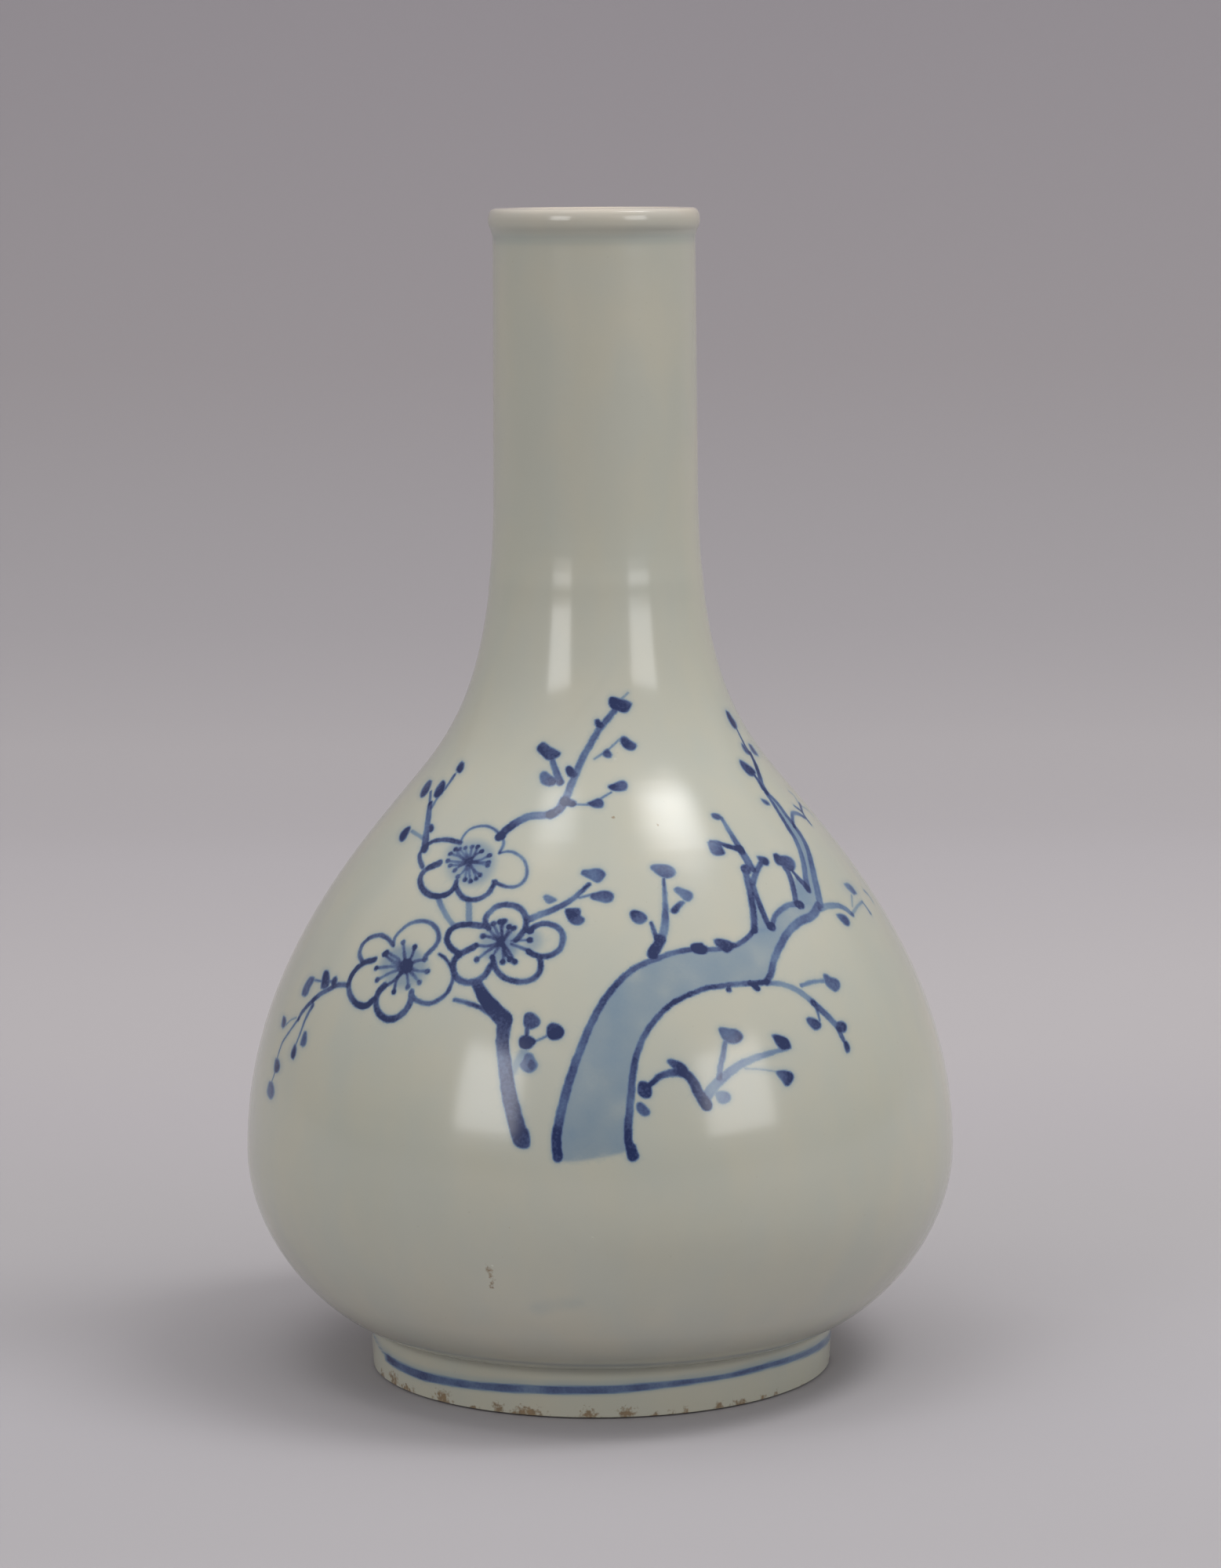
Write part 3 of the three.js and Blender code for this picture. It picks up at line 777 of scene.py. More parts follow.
strokes = [place_stroke(*mark) for mark in brushwork]
iron_strokes = [place_stroke(*mark) for mark in iron_marks]
bud_shapes = [closed_shape(points, ink, ink_edge / mm_per_pixel) for points, ink in buds]
wash_shapes = [closed_shape(*wash) for wash in washes]
stroke_length = sum(stroke["length"] for stroke in strokes)
print("strokes:", len(strokes), "with", round(stroke_length), "mm of brushwork, buds:", len(buds))


# %% How far a place is from the paint
def stroke_distance(stroke, places):
    """Distance from places to a stroke's edge, below zero inside it, and the share along it."""
    start = stroke["path"][:-1]
    step = stroke["path"][1:] - start
    offset = places[:, None, :] - start[None]
    share = (offset * step).sum(2) / (step * step).sum(1)
    share = np.clip(share, 0, 1)
    gap = np.linalg.norm(offset - share[..., None] * step, axis=2)
    half_width = stroke["half_width"]
    gap = gap - (half_width[:-1] + share * np.diff(half_width))
    nearest = gap.argmin(1)
    rows = np.arange(len(places))
    along_stroke = stroke["share"][nearest] + share[rows, nearest] * np.diff(stroke["share"])[nearest]
    return gap[rows, nearest], along_stroke


def near_stroke(stroke, places, reach):
    """Which places lie in a stroke's box, widened by a reach."""
    low = stroke["path"].min(0) - reach - stroke["half_width"].max()
    high = stroke["path"].max(0) + reach + stroke["half_width"].max()
    return np.flatnonzero(((places > low) & (places < high)).all(1))


def pixels_of(places):
    """Where the camera sees places, in pixels of the photograph."""
    seen = (places - camera_place) @ np.array(camera_turn)
    across = photo_width / 2 - lens_in_pixels * seen[:, 0] / seen[:, 2]
    down = photo_height / 2 + lens_in_pixels * seen[:, 1] / seen[:, 2]
    return np.stack([across, down], axis=1)


def polygon_distance(pixels, corners):
    """Distance in pixels from points to the rim of a closed shape, below zero inside."""
    start = corners[:-1]
    step = corners[1:] - start
    offset = pixels[:, None, :] - start[None]
    share = np.clip((offset * step).sum(2) / np.maximum((step * step).sum(1), 1e-9), 0, 1)
    gap = np.linalg.norm(offset - share[..., None] * step, axis=2).min(1)
    above = start[None, :, 1] > pixels[:, None, 1]
    above_next = corners[None, 1:, 1] > pixels[:, None, 1]
    rise = np.where(step[:, 1] == 0, 1e-9, step[:, 1])
    crossing = start[None, :, 0] + (pixels[:, None, 1] - start[None, :, 1]) / rise * step[:, 0]
    inside = ((above != above_next) & (pixels[:, None, 0] < crossing)).sum(1) % 2 == 1
    return np.where(inside, -gap, gap)


def shapes_near(shapes, places, reach):
    """Each closed shape with the places near it and their distances in pixels from its rim."""
    front = np.flatnonzero(places[:, 1] < 0)
    pixels = pixels_of(places[front])
    for shape in shapes:
        low = shape["rim"].min(0) - reach
        high = shape["rim"].max(0) + reach
        near = ((pixels > low) & (pixels < high)).all(1)
        if near.any():
            yield shape, front[near], polygon_distance(pixels[near], shape["rim"])


def paint_edge_distance(places):
    """How far places are from the nearest edge of a stroke or a bud, in millimetres."""
    distance = np.full(len(places), far_from_paint)
    for stroke in strokes + iron_strokes:
        rows = near_stroke(stroke, places, far_from_paint)
        if len(rows):
            gap, along_stroke = stroke_distance(stroke, places[rows])
            distance[rows] = np.minimum(distance[rows], np.abs(gap))
    for shape, rows, gap in shapes_near(bud_shapes, places, far_from_paint / mm_per_pixel):
        distance[rows] = np.minimum(distance[rows], np.abs(gap) * mm_per_pixel)
    for shape, rows, gap in shapes_near(wash_shapes, places, far_from_paint / mm_per_pixel):
        beside = np.abs(gap) * mm_per_pixel + shape["softness"] * mm_per_pixel
        distance[rows] = np.minimum(distance[rows], beside)
    return distance


# %% Soft edges and unevenness
def soft_step(value, start, end):
    """A smooth rise from 0 at the start to 1 at the end."""
    share = np.clip((value - start) / (end - start), 0, 1)
    return share * share * (3 - 2 * share)


def wobble(places, size):
    """A gentle unevenness from -1 to 1 with waves some millimetres long."""
    x, z = (places[:, [0, 2]] * 2 * math.pi / size).T
    waves = [(0.9, 0.5, 0.0), (-0.7, 0.8, 1.0), (0.4, 1.3, 4.0), (1.7, 0.3, 2.0)]
    return sum(np.sin(across * x + up * z + start) for across, up, start in waves) / len(waves)


# %% The line round the foot
# Each row has an angle from the front, the line's height, half its width, and its ink.
foot_line = np.array([
    (-180, 7.6, 0.85, 0.72), (-140, 7.9, 0.7, 0.72), (-110, 8.6, 0.4, 0.6), (-84, 9.3, 0.2, 0.45),
    (-76, 8.0, 0.2, 0.45), (-69, 6.7, 0.22, 0.5), (-68.3, 6.3, 0.95, 0.82), (-62, 5.8, 1.05, 0.8),
    (-49, 5.5, 1.15, 0.8), (-33, 6.0, 0.95, 0.76), (-18, 6.7, 1.05, 0.74), (-7, 7.0, 1.0, 0.74),
    (3, 7.2, 1.0, 0.74), (14, 7.7, 0.85, 0.72), (24, 7.9, 0.65, 0.7), (32, 8.0, 0.65, 0.68),
    (45, 8.4, 0.75, 0.7), (59, 8.0, 0.8, 0.66), (70, 7.6, 0.95, 0.62), (78, 7.2, 1.0, 0.55),
    (110, 7.2, 0.9, 0.7), (145, 7.9, 0.7, 0.72), (180, 7.6, 0.85, 0.72)])


def angle_from_front(places):
    """Degrees round the axis, from the front towards the right."""
    return np.degrees(np.arctan2(places[:, 0], -places[:, 1]))


def foot_line_at(places):
    """Height above the middle of the foot line, half its width there, and its ink."""
    angle = angle_from_front(places)
    middle, half_width, ink = (np.interp(angle, foot_line[:, 0], column) for column in foot_line.T[1:])
    return places[:, 2] - middle, half_width, ink


# %% How the cobalt lies
ragged_depth = 0.1
ragged_size = 3.1
ragged_fine_depth = 0.05
ragged_fine_size = 1.1
ragged_widths = (0.2, 0.6)
uneven_share = 0.17
uneven_size = 8.3
gain_at_ends = 0.12
end_stretch = (0.3, 0.5)
loss_in_middle = 0.07
middle_depths = (0.35, 1.1)
darkest_pale_ink = 0.9
gain_where_crossed = 0.25
wash_reach_px = 10
wash_uneven_share = 0.14
wash_uneven_size = 13.0
gain_under_wash = 0.4
foot_line_top = 12
foot_glow_ink = (0.15, 0.1)
foot_glow_reach = (2.0, 1.0)


def cobalt_at(places):
    """How much cobalt lies at places on the outside, from 0 for none to 1 for the darkest."""
    cobalt = np.zeros(len(places))
    halo = np.zeros(len(places))
    ragged = ragged_depth * wobble(places, ragged_size)
    ragged = ragged + ragged_fine_depth * wobble(places, ragged_fine_size)
    uneven = 1 + uneven_share * wobble(places, uneven_size)
    for stroke in strokes:
        rows = near_stroke(stroke, places, halo_reach)
        if not len(rows):
            continue
        gap, share = stroke_distance(stroke, places[rows])
        gap = gap + ragged[rows] * soft_step(stroke["half_width"].max(), *ragged_widths)
        cover = 1 - soft_step(gap, -ink_edge, ink_edge)
        ends = 1 + gain_at_ends * soft_step(np.abs(share - 0.5), *end_stretch)
        paler = loss_in_middle * (stroke["ink"] < darkest_pale_ink)
        middle = 1 - paler * soft_step(-gap, *middle_depths)
        ink = stroke["ink"] * cover * ends * middle * uneven[rows]
        low = np.minimum(cobalt[rows], ink)
        cobalt[rows] = np.maximum(cobalt[rows], ink) + gain_where_crossed * low
        glow = halo_ink * (1 - soft_step(gap, 0, halo_reach))
        halo[rows] = np.maximum(halo[rows], glow)
    for shape, rows, gap in shapes_near(bud_shapes, places, halo_reach / mm_per_pixel):
        cover = 1 - soft_step(gap, -shape["softness"], shape["softness"])
        cobalt[rows] = np.maximum(cobalt[rows], shape["ink"] * cover * uneven[rows])
        glow = halo_ink * (1 - soft_step(gap * mm_per_pixel, 0, halo_reach))
        halo[rows] = np.maximum(halo[rows], glow)
    for shape, rows, gap in shapes_near(wash_shapes, places, wash_reach_px):
        wash = shape["ink"] * (1 - soft_step(gap, -shape["softness"], shape["softness"]))
        wash = wash * (1 + wash_uneven_share * wobble(places[rows], wash_uneven_size))
        low = np.minimum(cobalt[rows], wash)
        cobalt[rows] = np.maximum(cobalt[rows], wash) + gain_under_wash * low * (1 - cobalt[rows])
    low_places = np.flatnonzero(places[:, 2] < foot_line_top)
    above, half_width, line_ink = foot_line_at(places[low_places])
    gap = np.abs(above) - half_width
    line = line_ink * (1 - soft_step(gap, -ink_edge, ink_edge))
    glow_reach = np.where(above > 0, *foot_glow_reach)
    glow = np.where(above > 0, *foot_glow_ink) * (1 - soft_step(gap, 0, glow_reach))
    cobalt[low_places] = np.maximum(cobalt[low_places], line)
    halo[low_places] = np.maximum(halo[low_places], glow)
    return np.clip(np.maximum(cobalt, halo), 0, 1)


# %% How iron and kiln sand lie
stain_reach = 1.0
stain_edge = (-0.4, 0.5)
sand_fade = (0.3, 1.1)


def iron_at(places):
    """How far iron and kiln sand stain the glaze at places, from 0 to 1."""
    iron = np.zeros(len(places))
    for stroke in iron_strokes:
        rows = near_stroke(stroke, places, stain_reach)
        if len(rows):
            gap, share = stroke_distance(stroke, places[rows])
            iron[rows] = np.maximum(iron[rows], stroke["ink"] * (1 - soft_step(gap, *stain_edge)))
    angle = angle_from_front(places)
    for middle, half_width, height in sand_patches:
        patch = np.exp(-((angle - middle) / half_width)**2)
        full, bare = height * np.array(sand_fade)
        iron = np.maximum(iron, patch * (1 - soft_step(places[:, 2], full, bare)))
    return iron


# %% [markdown]
# ## The outer glaze
#
# The outer glaze runs from just above the ground to the crest of the lip. It could be a lathe
# surface painted with an image, but no image is used here, so the cobalt is carried by the mesh's
# own points. The coat is spun from its closed section, and its edges are then divided only where
# a stroke's edge is near, until they are less than half a millimetre long.

# %% Turning a closed section into a coat
turn_steps = 120
coarsest_station = 4.0
finest_station = 0.5
flatness = 0.012
bend_window = 7
least_bend = 1e-5


def stations(first, last, dense=()):
    """Lengths along the outline, closer together where it bends and in the dense stretches."""
    bend = np.abs(np.gradient(np.unwrap(np.arctan2(along[:, 1], along[:, 0])), outside_length))
    bend = np.maximum(np.convolve(bend, np.ones(bend_window) / bend_window, "same"), least_bend)
    # A straight step departs from a bend by its length squared times the bend, over 8.
    spacing = np.clip(np.sqrt(8 * flatness / bend), finest_station, coarsest_station)
    for low, high, step in dense:
        inside = (outside_length > low) & (outside_length < high)
        spacing[inside] = np.minimum(spacing[inside], step)
    count_along = np.append(0, np.cumsum(np.diff(outside_length) / spacing[1:]))
    start, end = np.interp((first, last), outside_length, count_along)
    counts = np.linspace(start, end, math.ceil(end - start) + 1)
    return np.interp(counts, count_along, outside_length)


def put_in_order(bm):
    """Sorts points by place and the rest by points, as operators leave them in a changing order."""
    bm.verts.index_update()
    rank = np.argsort(np.lexsort(np.array([vertex.co for vertex in bm.verts]).T))
    bm.verts.sort(key=lambda vertex: int(rank[vertex.index]))
    bm.verts.index_update()
    for parts in (bm.edges, bm.faces):
        parts.index_update()
        corners = [sorted(corner.index for corner in part.verts) for part in parts]
        rank = np.argsort(sorted(range(len(corners)), key=corners.__getitem__))
        parts.sort(key=lambda part: int(rank[part.index]))
        parts.index_update()


def spun(section, closed=True):
    """A bmesh turned once round the axis from a section of radius and height."""
    bm = bmesh.new()
    corners = [bm.verts.new((0, radius * MM, height * MM)) for radius, height in section]
    pairs = list(zip(corners, corners[1:]))
    if closed:
        pairs.append((corners[-1], corners[0]))
    edges = [bm.edges.new(pair) for pair in pairs]
    bmesh.ops.spin(
        bm, geom=corners + edges, cent=(0, 0, 0), axis=(0, 0, 1), dvec=(0, 0, 0),
        angle=2 * math.pi, steps=turn_steps, use_merge=True, use_duplicate=False)
    bmesh.ops.remove_doubles(bm, verts=bm.verts[:], dist=0.000001)
    put_in_order(bm)
    bmesh.ops.recalc_face_normals(bm, faces=bm.faces[:])
    return bm


def vertex_places(bm):
    """The points of a bmesh in millimetres."""
    return np.array([vertex.co for vertex in bm.verts]) / MM


def as_piece(bm, name, node):
    """A finished piece on the vase's only body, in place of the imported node."""
    mesh = bpy.data.meshes.new(name)
    bm.to_mesh(mesh)
    bm.free()
    mesh.shade_smooth()
    piece = bpy.data.objects.new(name, mesh)
    bpy.context.scene.collection.objects.link(piece)
    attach(piece, "root")
    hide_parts(node)
    mesh.calc_loop_triangles()
    print(name, "triangles:", len(mesh.loop_triangles))
    return piece


# %% The outer glaze as a plain coat
crease_start = length_at_height(11.2)
crease_stretch = (crease_start, crease_start + 4.0, 0.3)
foot_line_stretch = (length_at_height(4.0), length_at_height(10.2), 0.4)
hidden_side_mark = -1000
on_surface = 0.01
outer_lengths = stations(0, outside_length[-1], [foot_line_stretch, crease_stretch])
outer_surface = outline_at(outer_lengths)
hidden_lengths = np.append(outer_lengths[:-1:4], outer_lengths[-1])
hidden_side = outline_at(hidden_lengths) - glaze_thickness * outward_at(hidden_lengths)
outer_bm = spun(np.concatenate([outer_surface, hidden_side[::-1]]))
outer_bm.verts.ensure_lookup_table()
length_layer = outer_bm.verts.layers.float.new("outline_length")
coat_places = vertex_places(outer_bm)
coat_profile = np.stack([np.hypot(coat_places[:, 0], coat_places[:, 1]), coat_places[:, 2]], axis=1)
for vertex, profile in zip(outer_bm.verts, coat_profile):
    gaps = np.hypot(*(outer_surface - profile).T)
    nearest = int(gaps.argmin())
    vertex[length_layer] = outer_lengths[nearest] if gaps[nearest] < on_surface else hidden_side_mark
print("outline stations:", len(outer_lengths), "points in the coat:", len(outer_bm.verts))

# %% Dividing the mesh where the brush went
refining_passes = 5
finest_edge = 0.36
edge_share_of_distance = 0.8
edge_slack = 1.3
sandy_height = 4.6
sandy_edge = 1.0


def put_on_outline(bm, vertices):
    """Moves points onto the exact outline, at their own angle round the axis."""
    if not vertices:
        return
    lengths = np.array([vertex[length_layer] for vertex in vertices])
    profile = outline_at(lengths)
    for vertex, (radius, height) in zip(vertices, profile):
        angle = math.atan2(vertex.co.y, vertex.co.x)
        vertex.co = (radius * math.cos(angle) * MM, radius * math.sin(angle) * MM, height * MM)


for refining in range(refining_passes):
    edges = [edge for edge in outer_bm.edges if min(end[length_layer] for end in edge.verts) >= 0]
    middles = np.array([(edge.verts[0].co + edge.verts[1].co) / 2 for edge in edges]) / MM
    lengths = np.array([edge.calc_length() for edge in edges]) / MM
    allowed = np.maximum(finest_edge, edge_share_of_distance * paint_edge_distance(middles))
    allowed = np.where(middles[:, 2] < sandy_height, np.minimum(allowed, sandy_edge), allowed)
    too_long = lengths > edge_slack * allowed
    chosen = [edge for edge, long in zip(edges, too_long) if long]
    if not chosen:
        break
    if refining == 0:
        divided = set(chosen)
        crowded = [
            face for face in outer_bm.faces
            if len(face.verts) > 3 and not divided.isdisjoint(face.edges)]
        bmesh.ops.triangulate(outer_bm, faces=crowded)
    old_count = len(outer_bm.verts)
    bmesh.ops.subdivide_edges(outer_bm, edges=chosen, cuts=1)
    outer_bm.verts.ensure_lookup_table()
    put_on_outline(outer_bm, outer_bm.verts[old_count:])
    put_in_order(outer_bm)
    many_sided = [face for face in outer_bm.faces if len(face.verts) > 4]
    bmesh.ops.triangulate(outer_bm, faces=many_sided)
    print("pass", refining + 1, "divided", len(chosen), "edges, points now", len(outer_bm.verts))

# %% The painted glaze as a piece, with its cobalt, its iron and its normals
glaze_places = vertex_places(outer_bm)
glaze_lengths = np.array([vertex[length_layer] for vertex in outer_bm.verts])
outside_points = glaze_lengths >= 0
square = outward_at(np.maximum(glaze_lengths, 0))
square[~outside_points] *= -1
radial = glaze_places[:, :2] / np.hypot(glaze_places[:, 0], glaze_places[:, 1])[:, None]
normals = np.stack([radial[:, 0] * square[:, 0], radial[:, 1] * square[:, 0], square[:, 1]], axis=1)

outer_glaze = as_piece(outer_bm, "painted_outer_glaze", "outer_glaze")
glaze_mesh = outer_glaze.data
for pigment, strength_at in (("cobalt", cobalt_at), ("iron", iron_at)):
    strength = np.zeros(len(glaze_places), np.float32)
    strength[outside_points] = strength_at(glaze_places[outside_points])
    attribute = glaze_mesh.attributes.new(pigment, "FLOAT", "POINT")
    attribute.data.foreach_set("value", strength)
    print("points with", pigment + ":", int((strength > 0.02).sum()))
glaze_mesh.normals_split_custom_set_from_vertices(normals.tolist())

# %% The map of the painted glaze
map_angles = (-180, -80, 80, 180)
map_angle_shares = (0, 0.17, 0.83, 1)
map_heights = (18, 150)
map_height_shares = (0.03, 0.14, 0.74, 1)
hidden_strip_start = 0.001
hidden_strip_height = 0.024
seam_reach = 0.01


def glaze_map(mesh, places, lengths):
    """A map of the coat: more room for the painted front, and a strip for the hidden side."""
    layer = mesh.uv_layers.new(name="OFBake")
    corner_points = np.zeros(len(mesh.loops), int)
    mesh.loops.foreach_get("vertex_index", corner_points)
    face_sizes = np.zeros(len(mesh.polygons), int)
    mesh.polygons.foreach_get("loop_total", face_sizes)
    face_of_corner = np.repeat(np.arange(len(mesh.polygons)), face_sizes)
    angle = angle_from_front(places)[corner_points]
    face_x = np.bincount(face_of_corner, places[corner_points, 0]) / face_sizes
    at_seam = np.abs(np.abs(angle) - 180) < seam_reach
    angle = np.where(at_seam, 180 * np.sign(face_x[face_of_corner]), angle)
    across = np.interp(angle, map_angles, map_angle_shares)
    knots = (0, *[length_at_height(height) for height in map_heights], outside_length[-1])
    climb = np.interp(lengths[corner_points], knots, map_height_shares)
    height_share = places[corner_points, 2] / vase_height
    hidden_face = np.bincount(face_of_corner, lengths[corner_points] < 0) > 0
    hidden_climb = hidden_strip_start + hidden_strip_height * height_share
    climb = np.where(hidden_face[face_of_corner], hidden_climb, climb)
    layer.data.foreach_set("uv", np.stack([across, climb], axis=1).ravel())


glaze_map(glaze_mesh, glaze_places, glaze_lengths)
print("map layers:", glaze_mesh.uv_layers.keys())

# %% [markdown]
# ## The glaze inside and under the base
#
# Both coats are plain. The inner one runs from the crest of the lip down the neck and over the
# floor, and the base one lines the recess in the foot ring. They are turned like the outer glaze,
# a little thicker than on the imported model, so that the flat sides of the clay never show.

# %% The inner glaze
wall_heights = (11, 54, 150, 214)
wall_sizes = (8, 6, 5.5, 4.6)
floor_height = 21.9
floor_corner_reach = 7
floor_corner_rise = 10
floor_corner_width = 8
inner_coat_thickness = 1.0
inner_face_from_clay = 0.85
mouth_reaches = (2.5, 3)
inner_lengths = stations(length_at_height(26), length_at_height(neck_top[1]))
walls = np.interp(outline_at(inner_lengths)[:, 1], wall_heights, wall_sizes)
inner_depth = walls + glaze_thickness + inner_face_from_clay
inner_wall = outline_at(inner_lengths) - inner_depth[:, None] * outward_at(inner_lengths)
inner_wall = inner_wall[inner_wall[:, 1] > floor_height + floor_corner_rise]
corner = np.array((inner_wall[0][0] - floor_corner_width, floor_height))
floor_start = corner - (floor_corner_reach, 0)
share = np.linspace(0, 1, 12)[:, None]
floor_bend = (1 - share)**2 * floor_start + 2 * share * (1 - share) * corner + share**2 * inner_wall[0]
lip_inside = lip_roll(90, 180)[::8]
mouth_drop = curve(
    lip_inside[-1], heading(-90), mouth_reaches[0], inner_wall[-1], -neck_heading,
    mouth_reaches[1])[1::24]
inner_surface = np.concatenate([
    [(0.0, floor_height), (floor_start[0] / 2, floor_height)],
    floor_bend,
    inner_wall[1:-1],
    mouth_drop[::-1],
    lip_inside[::-1],
])
print("inner coat section points:", len(inner_surface))


def square_to(path):
    """The direction to the left of a path's travel at each of its points."""
    step = np.gradient(path, axis=0)
    step = step / np.hypot(*step.T)[:, None]
    return np.stack([-step[:, 1], step[:, 0]], axis=1)


# %% The inner coat, closed along the clay
clay_side = inner_surface - inner_coat_thickness * square_to(inner_surface)
clay_side[0] = (0, floor_height - inner_coat_thickness)
clay_side[-1] = (lip_centre[0], vase_height - inner_coat_thickness)
inner_bm = spun(np.concatenate([inner_surface, clay_side[::-1]]), closed=False)
inner_glaze = as_piece(inner_bm, "plain_inner_glaze", "inner_glaze")

# %% The base coat
recess_radius = foot_radius - glaze_thickness - 10
base_coat_thickness = 0.4
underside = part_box("base_glaze")[1].z / MM
inner_bare_height = 2.4
recess_corner_rounding = 2.4
ceiling = underside - base_coat_thickness
recess_wall = recess_radius - base_coat_thickness
bare_corner = (recess_radius, inner_bare_height)
base_surface = [(0, ceiling), (recess_wall, ceiling), (recess_wall, inner_bare_height), bare_corner]
base_surface = rounded(evenly(base_surface, outline_step), recess_corner_rounding)[::6]
base_section = [*base_surface, bare_corner, (recess_radius, underside), (0, underside)]
base_bm = spun(base_section, closed=False)
base_glaze = as_piece(base_bm, "plain_base_glaze", "base_glaze")

# %% [markdown]
# ## The foot ring
#
# The ring was trimmed or luted on, wiped clean of glaze and set down on sand, so its edge is bare,
# a little ragged and browned. It could be a plain ring with a bumpy material. Here its section is
# turned with rounded edges, and the points near the ground are pushed in and out a little.

# %% The foot ring's section and its rough edge
ring_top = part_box("foot_ring")[1].z / MM
ring_outside = foot_radius - glaze_thickness
edge_bevel = 1.2
ring_toe = (ring_outside - 0.5, 0.5)
ring_side_start = 2.2
roughness_fade = (1.5, 4.0)
roughness_waves = ((0.16, 0.45), (0.07, 1.7))
ring_section = np.array([
    (recess_radius, ring_top), (recess_radius, edge_bevel), (recess_radius + edge_bevel, 0),
    (ring_toe[0] - edge_bevel, 0), ring_toe, (ring_outside, ring_side_start),
    (ring_outside, ring_top)])
ring_section = rounded(evenly(ring_section, outline_step), corner_rounding)
ring_section = np.concatenate([ring_section[::6], ring_section[-1:]])
ring_bm = spun(ring_section)
middle = (recess_radius + ring_outside) / 2
for vertex in ring_bm.verts:
    place = vertex.co / MM
    near_ground = 1 - soft_step(place.z, *roughness_fade)
    push = sum(depth * near_ground * noise.noise(place * scale) for depth, scale in roughness_waves)
    outwards = Vector((place.x, place.y, 0)).normalized()
    side = 1 if math.hypot(place.x, place.y) > middle else -1
    vertex.co += outwards * side * float(push) * MM
foot_ring = as_piece(ring_bm, "bare_foot_ring", "foot_ring")

# %% [markdown]
# ## Materials
#
# A fired porcelain glaze is glass: a smooth skin that mirrors the lamps, over a body that is
# seen through it. It could be built from glass over clay, but a coat half a millimetre thick looks
# the same as a smooth dielectric over the colour beneath, and it renders without noise. Cobalt and
# iron lie under that skin, so they change only the colour and never the gloss.

# %% Small helpers for colours and nodes
def linear(hex_colour):
    """A linear colour from an sRGB hex value."""
    channels = [int(hex_colour[place:place + 2], 16) / 255 for place in (1, 3, 5)]
    return tuple(c / 12.92 if c <= 0.04045 else ((c + 0.055) / 1.055)**2.4 for c in channels) + (1,)


def add_node(tree, kind, links=None, **settings):
    """Adds a node, sets its properties, and sets or links its inputs by name or place."""
    node = tree.nodes.new(kind)
    for name, value in settings.items():
        setattr(node, name, value)
    for socket, value in (links or {}).items():
        if isinstance(value, bpy.types.NodeSocket):
            tree.links.new(value, node.inputs[socket])
        else:
            node.inputs[socket].default_value = value
    return node


def set_ramp(node, stops):
    """Sets a colour ramp's stops and gives its colour output."""
    ramp = node.color_ramp
    while len(ramp.elements) > 1:
        ramp.elements.remove(ramp.elements[-1])
    for index, (place, colour) in enumerate(stops):
        element = ramp.elements.new(place) if index else ramp.elements[0]
        element.position = place
        element.color = colour
    return node.outputs["Color"]


def new_material(name):
    """A material with an empty node tree."""
    material = bpy.data.materials.new(name)
    material.use_nodes = True
    material.node_tree.nodes.clear()
    return material


def noise_scale(size_mm):
    """The scale of a noise whose spots are some millimetres across."""
    return 1 / (size_mm * MM)


# %% What the glaze looks like, with cobalt and iron under it
# Cobalt tints the white clay by these amounts, from none to the darkest.
cobalt_stops = [
    (0.0, (1, 1, 1, 1)), (0.15, (0.73, 0.815, 0.94, 1)), (0.28, (0.51, 0.64, 0.865, 1)),
    (0.4, (0.4, 0.555, 0.835, 1)), (0.55, (0.285, 0.415, 0.77, 1)), (0.7, (0.18, 0.268, 0.6, 1)),
    (0.85, (0.115, 0.16, 0.43, 1)), (1.0, (0.045, 0.07, 0.255, 1))]

# Each tone of the glaze has its height. It pools bluer in the crease and the groove, and the clay
# warms it on the lip. The tones near the foot, on the lower body and on the neck are lighter than
# the glaze's own: painted light, where the lamps leave those parts darker.
glaze_tones_with_painted_light = [
    (0, "#C4C2B3"), (10, "#C0BFB0"), (12, "#B7B6A9"), (13, "#ABADA4"), (14.5, "#B4B3A6"),
    (24, "#C2C0B3"), (38, "#BDBCAF"), (54, "#B6B5A8"), (200, "#B9B8AB"), (225, "#B8B6A9"),
    (271, "#B8B6A9"), (273, "#A7AAA2"), (274.6, "#AFAEA3"), (276.5, "#B9B5A8"), (279, "#C1BAAE"),
    (280, "#C9BFB3")]
# Clouds in the glaze have the size of their patches in millimetres and the two tints between them.
cloud_tints = ((34, "#FFFFFF", "#F9FBFC"), (13, "#FFFEFA", "#FAFCFC"))
cloud_stretch = (1, 1, 0.55)
cloud_edges = (0.35, 0.65)
# Cobalt swings in strength: the size of the spots, their detail, how far it swings, and whether
# the swing grows with the square of the cobalt.
cobalt_swings = ((7, 0.6, 0.42, False), (0.7, 1.0, 0.2, True))
swing_edges = (0.25, 0.75)
iron_browns = ("#947447", "#5F4730")
iron_brown_size = 2.6
crumb_size = 0.9
crumb_detail = 4.0
crumb_share = 0.5
crumb_edges = (0.72, 0.96)
strongest_stain = 0.8
throwing_line_size = 5.0
throwing_line_stretch = (0.12, 0.12, 1)
throwing_line_depth = 0.0004
throwing_line_strength = 0.12
glaze_roughness = 0.14
glaze_ior = 1.5
print("tones from foot to lip:", len(glaze_tones_with_painted_light), "steps of cobalt:", len(cobalt_stops))


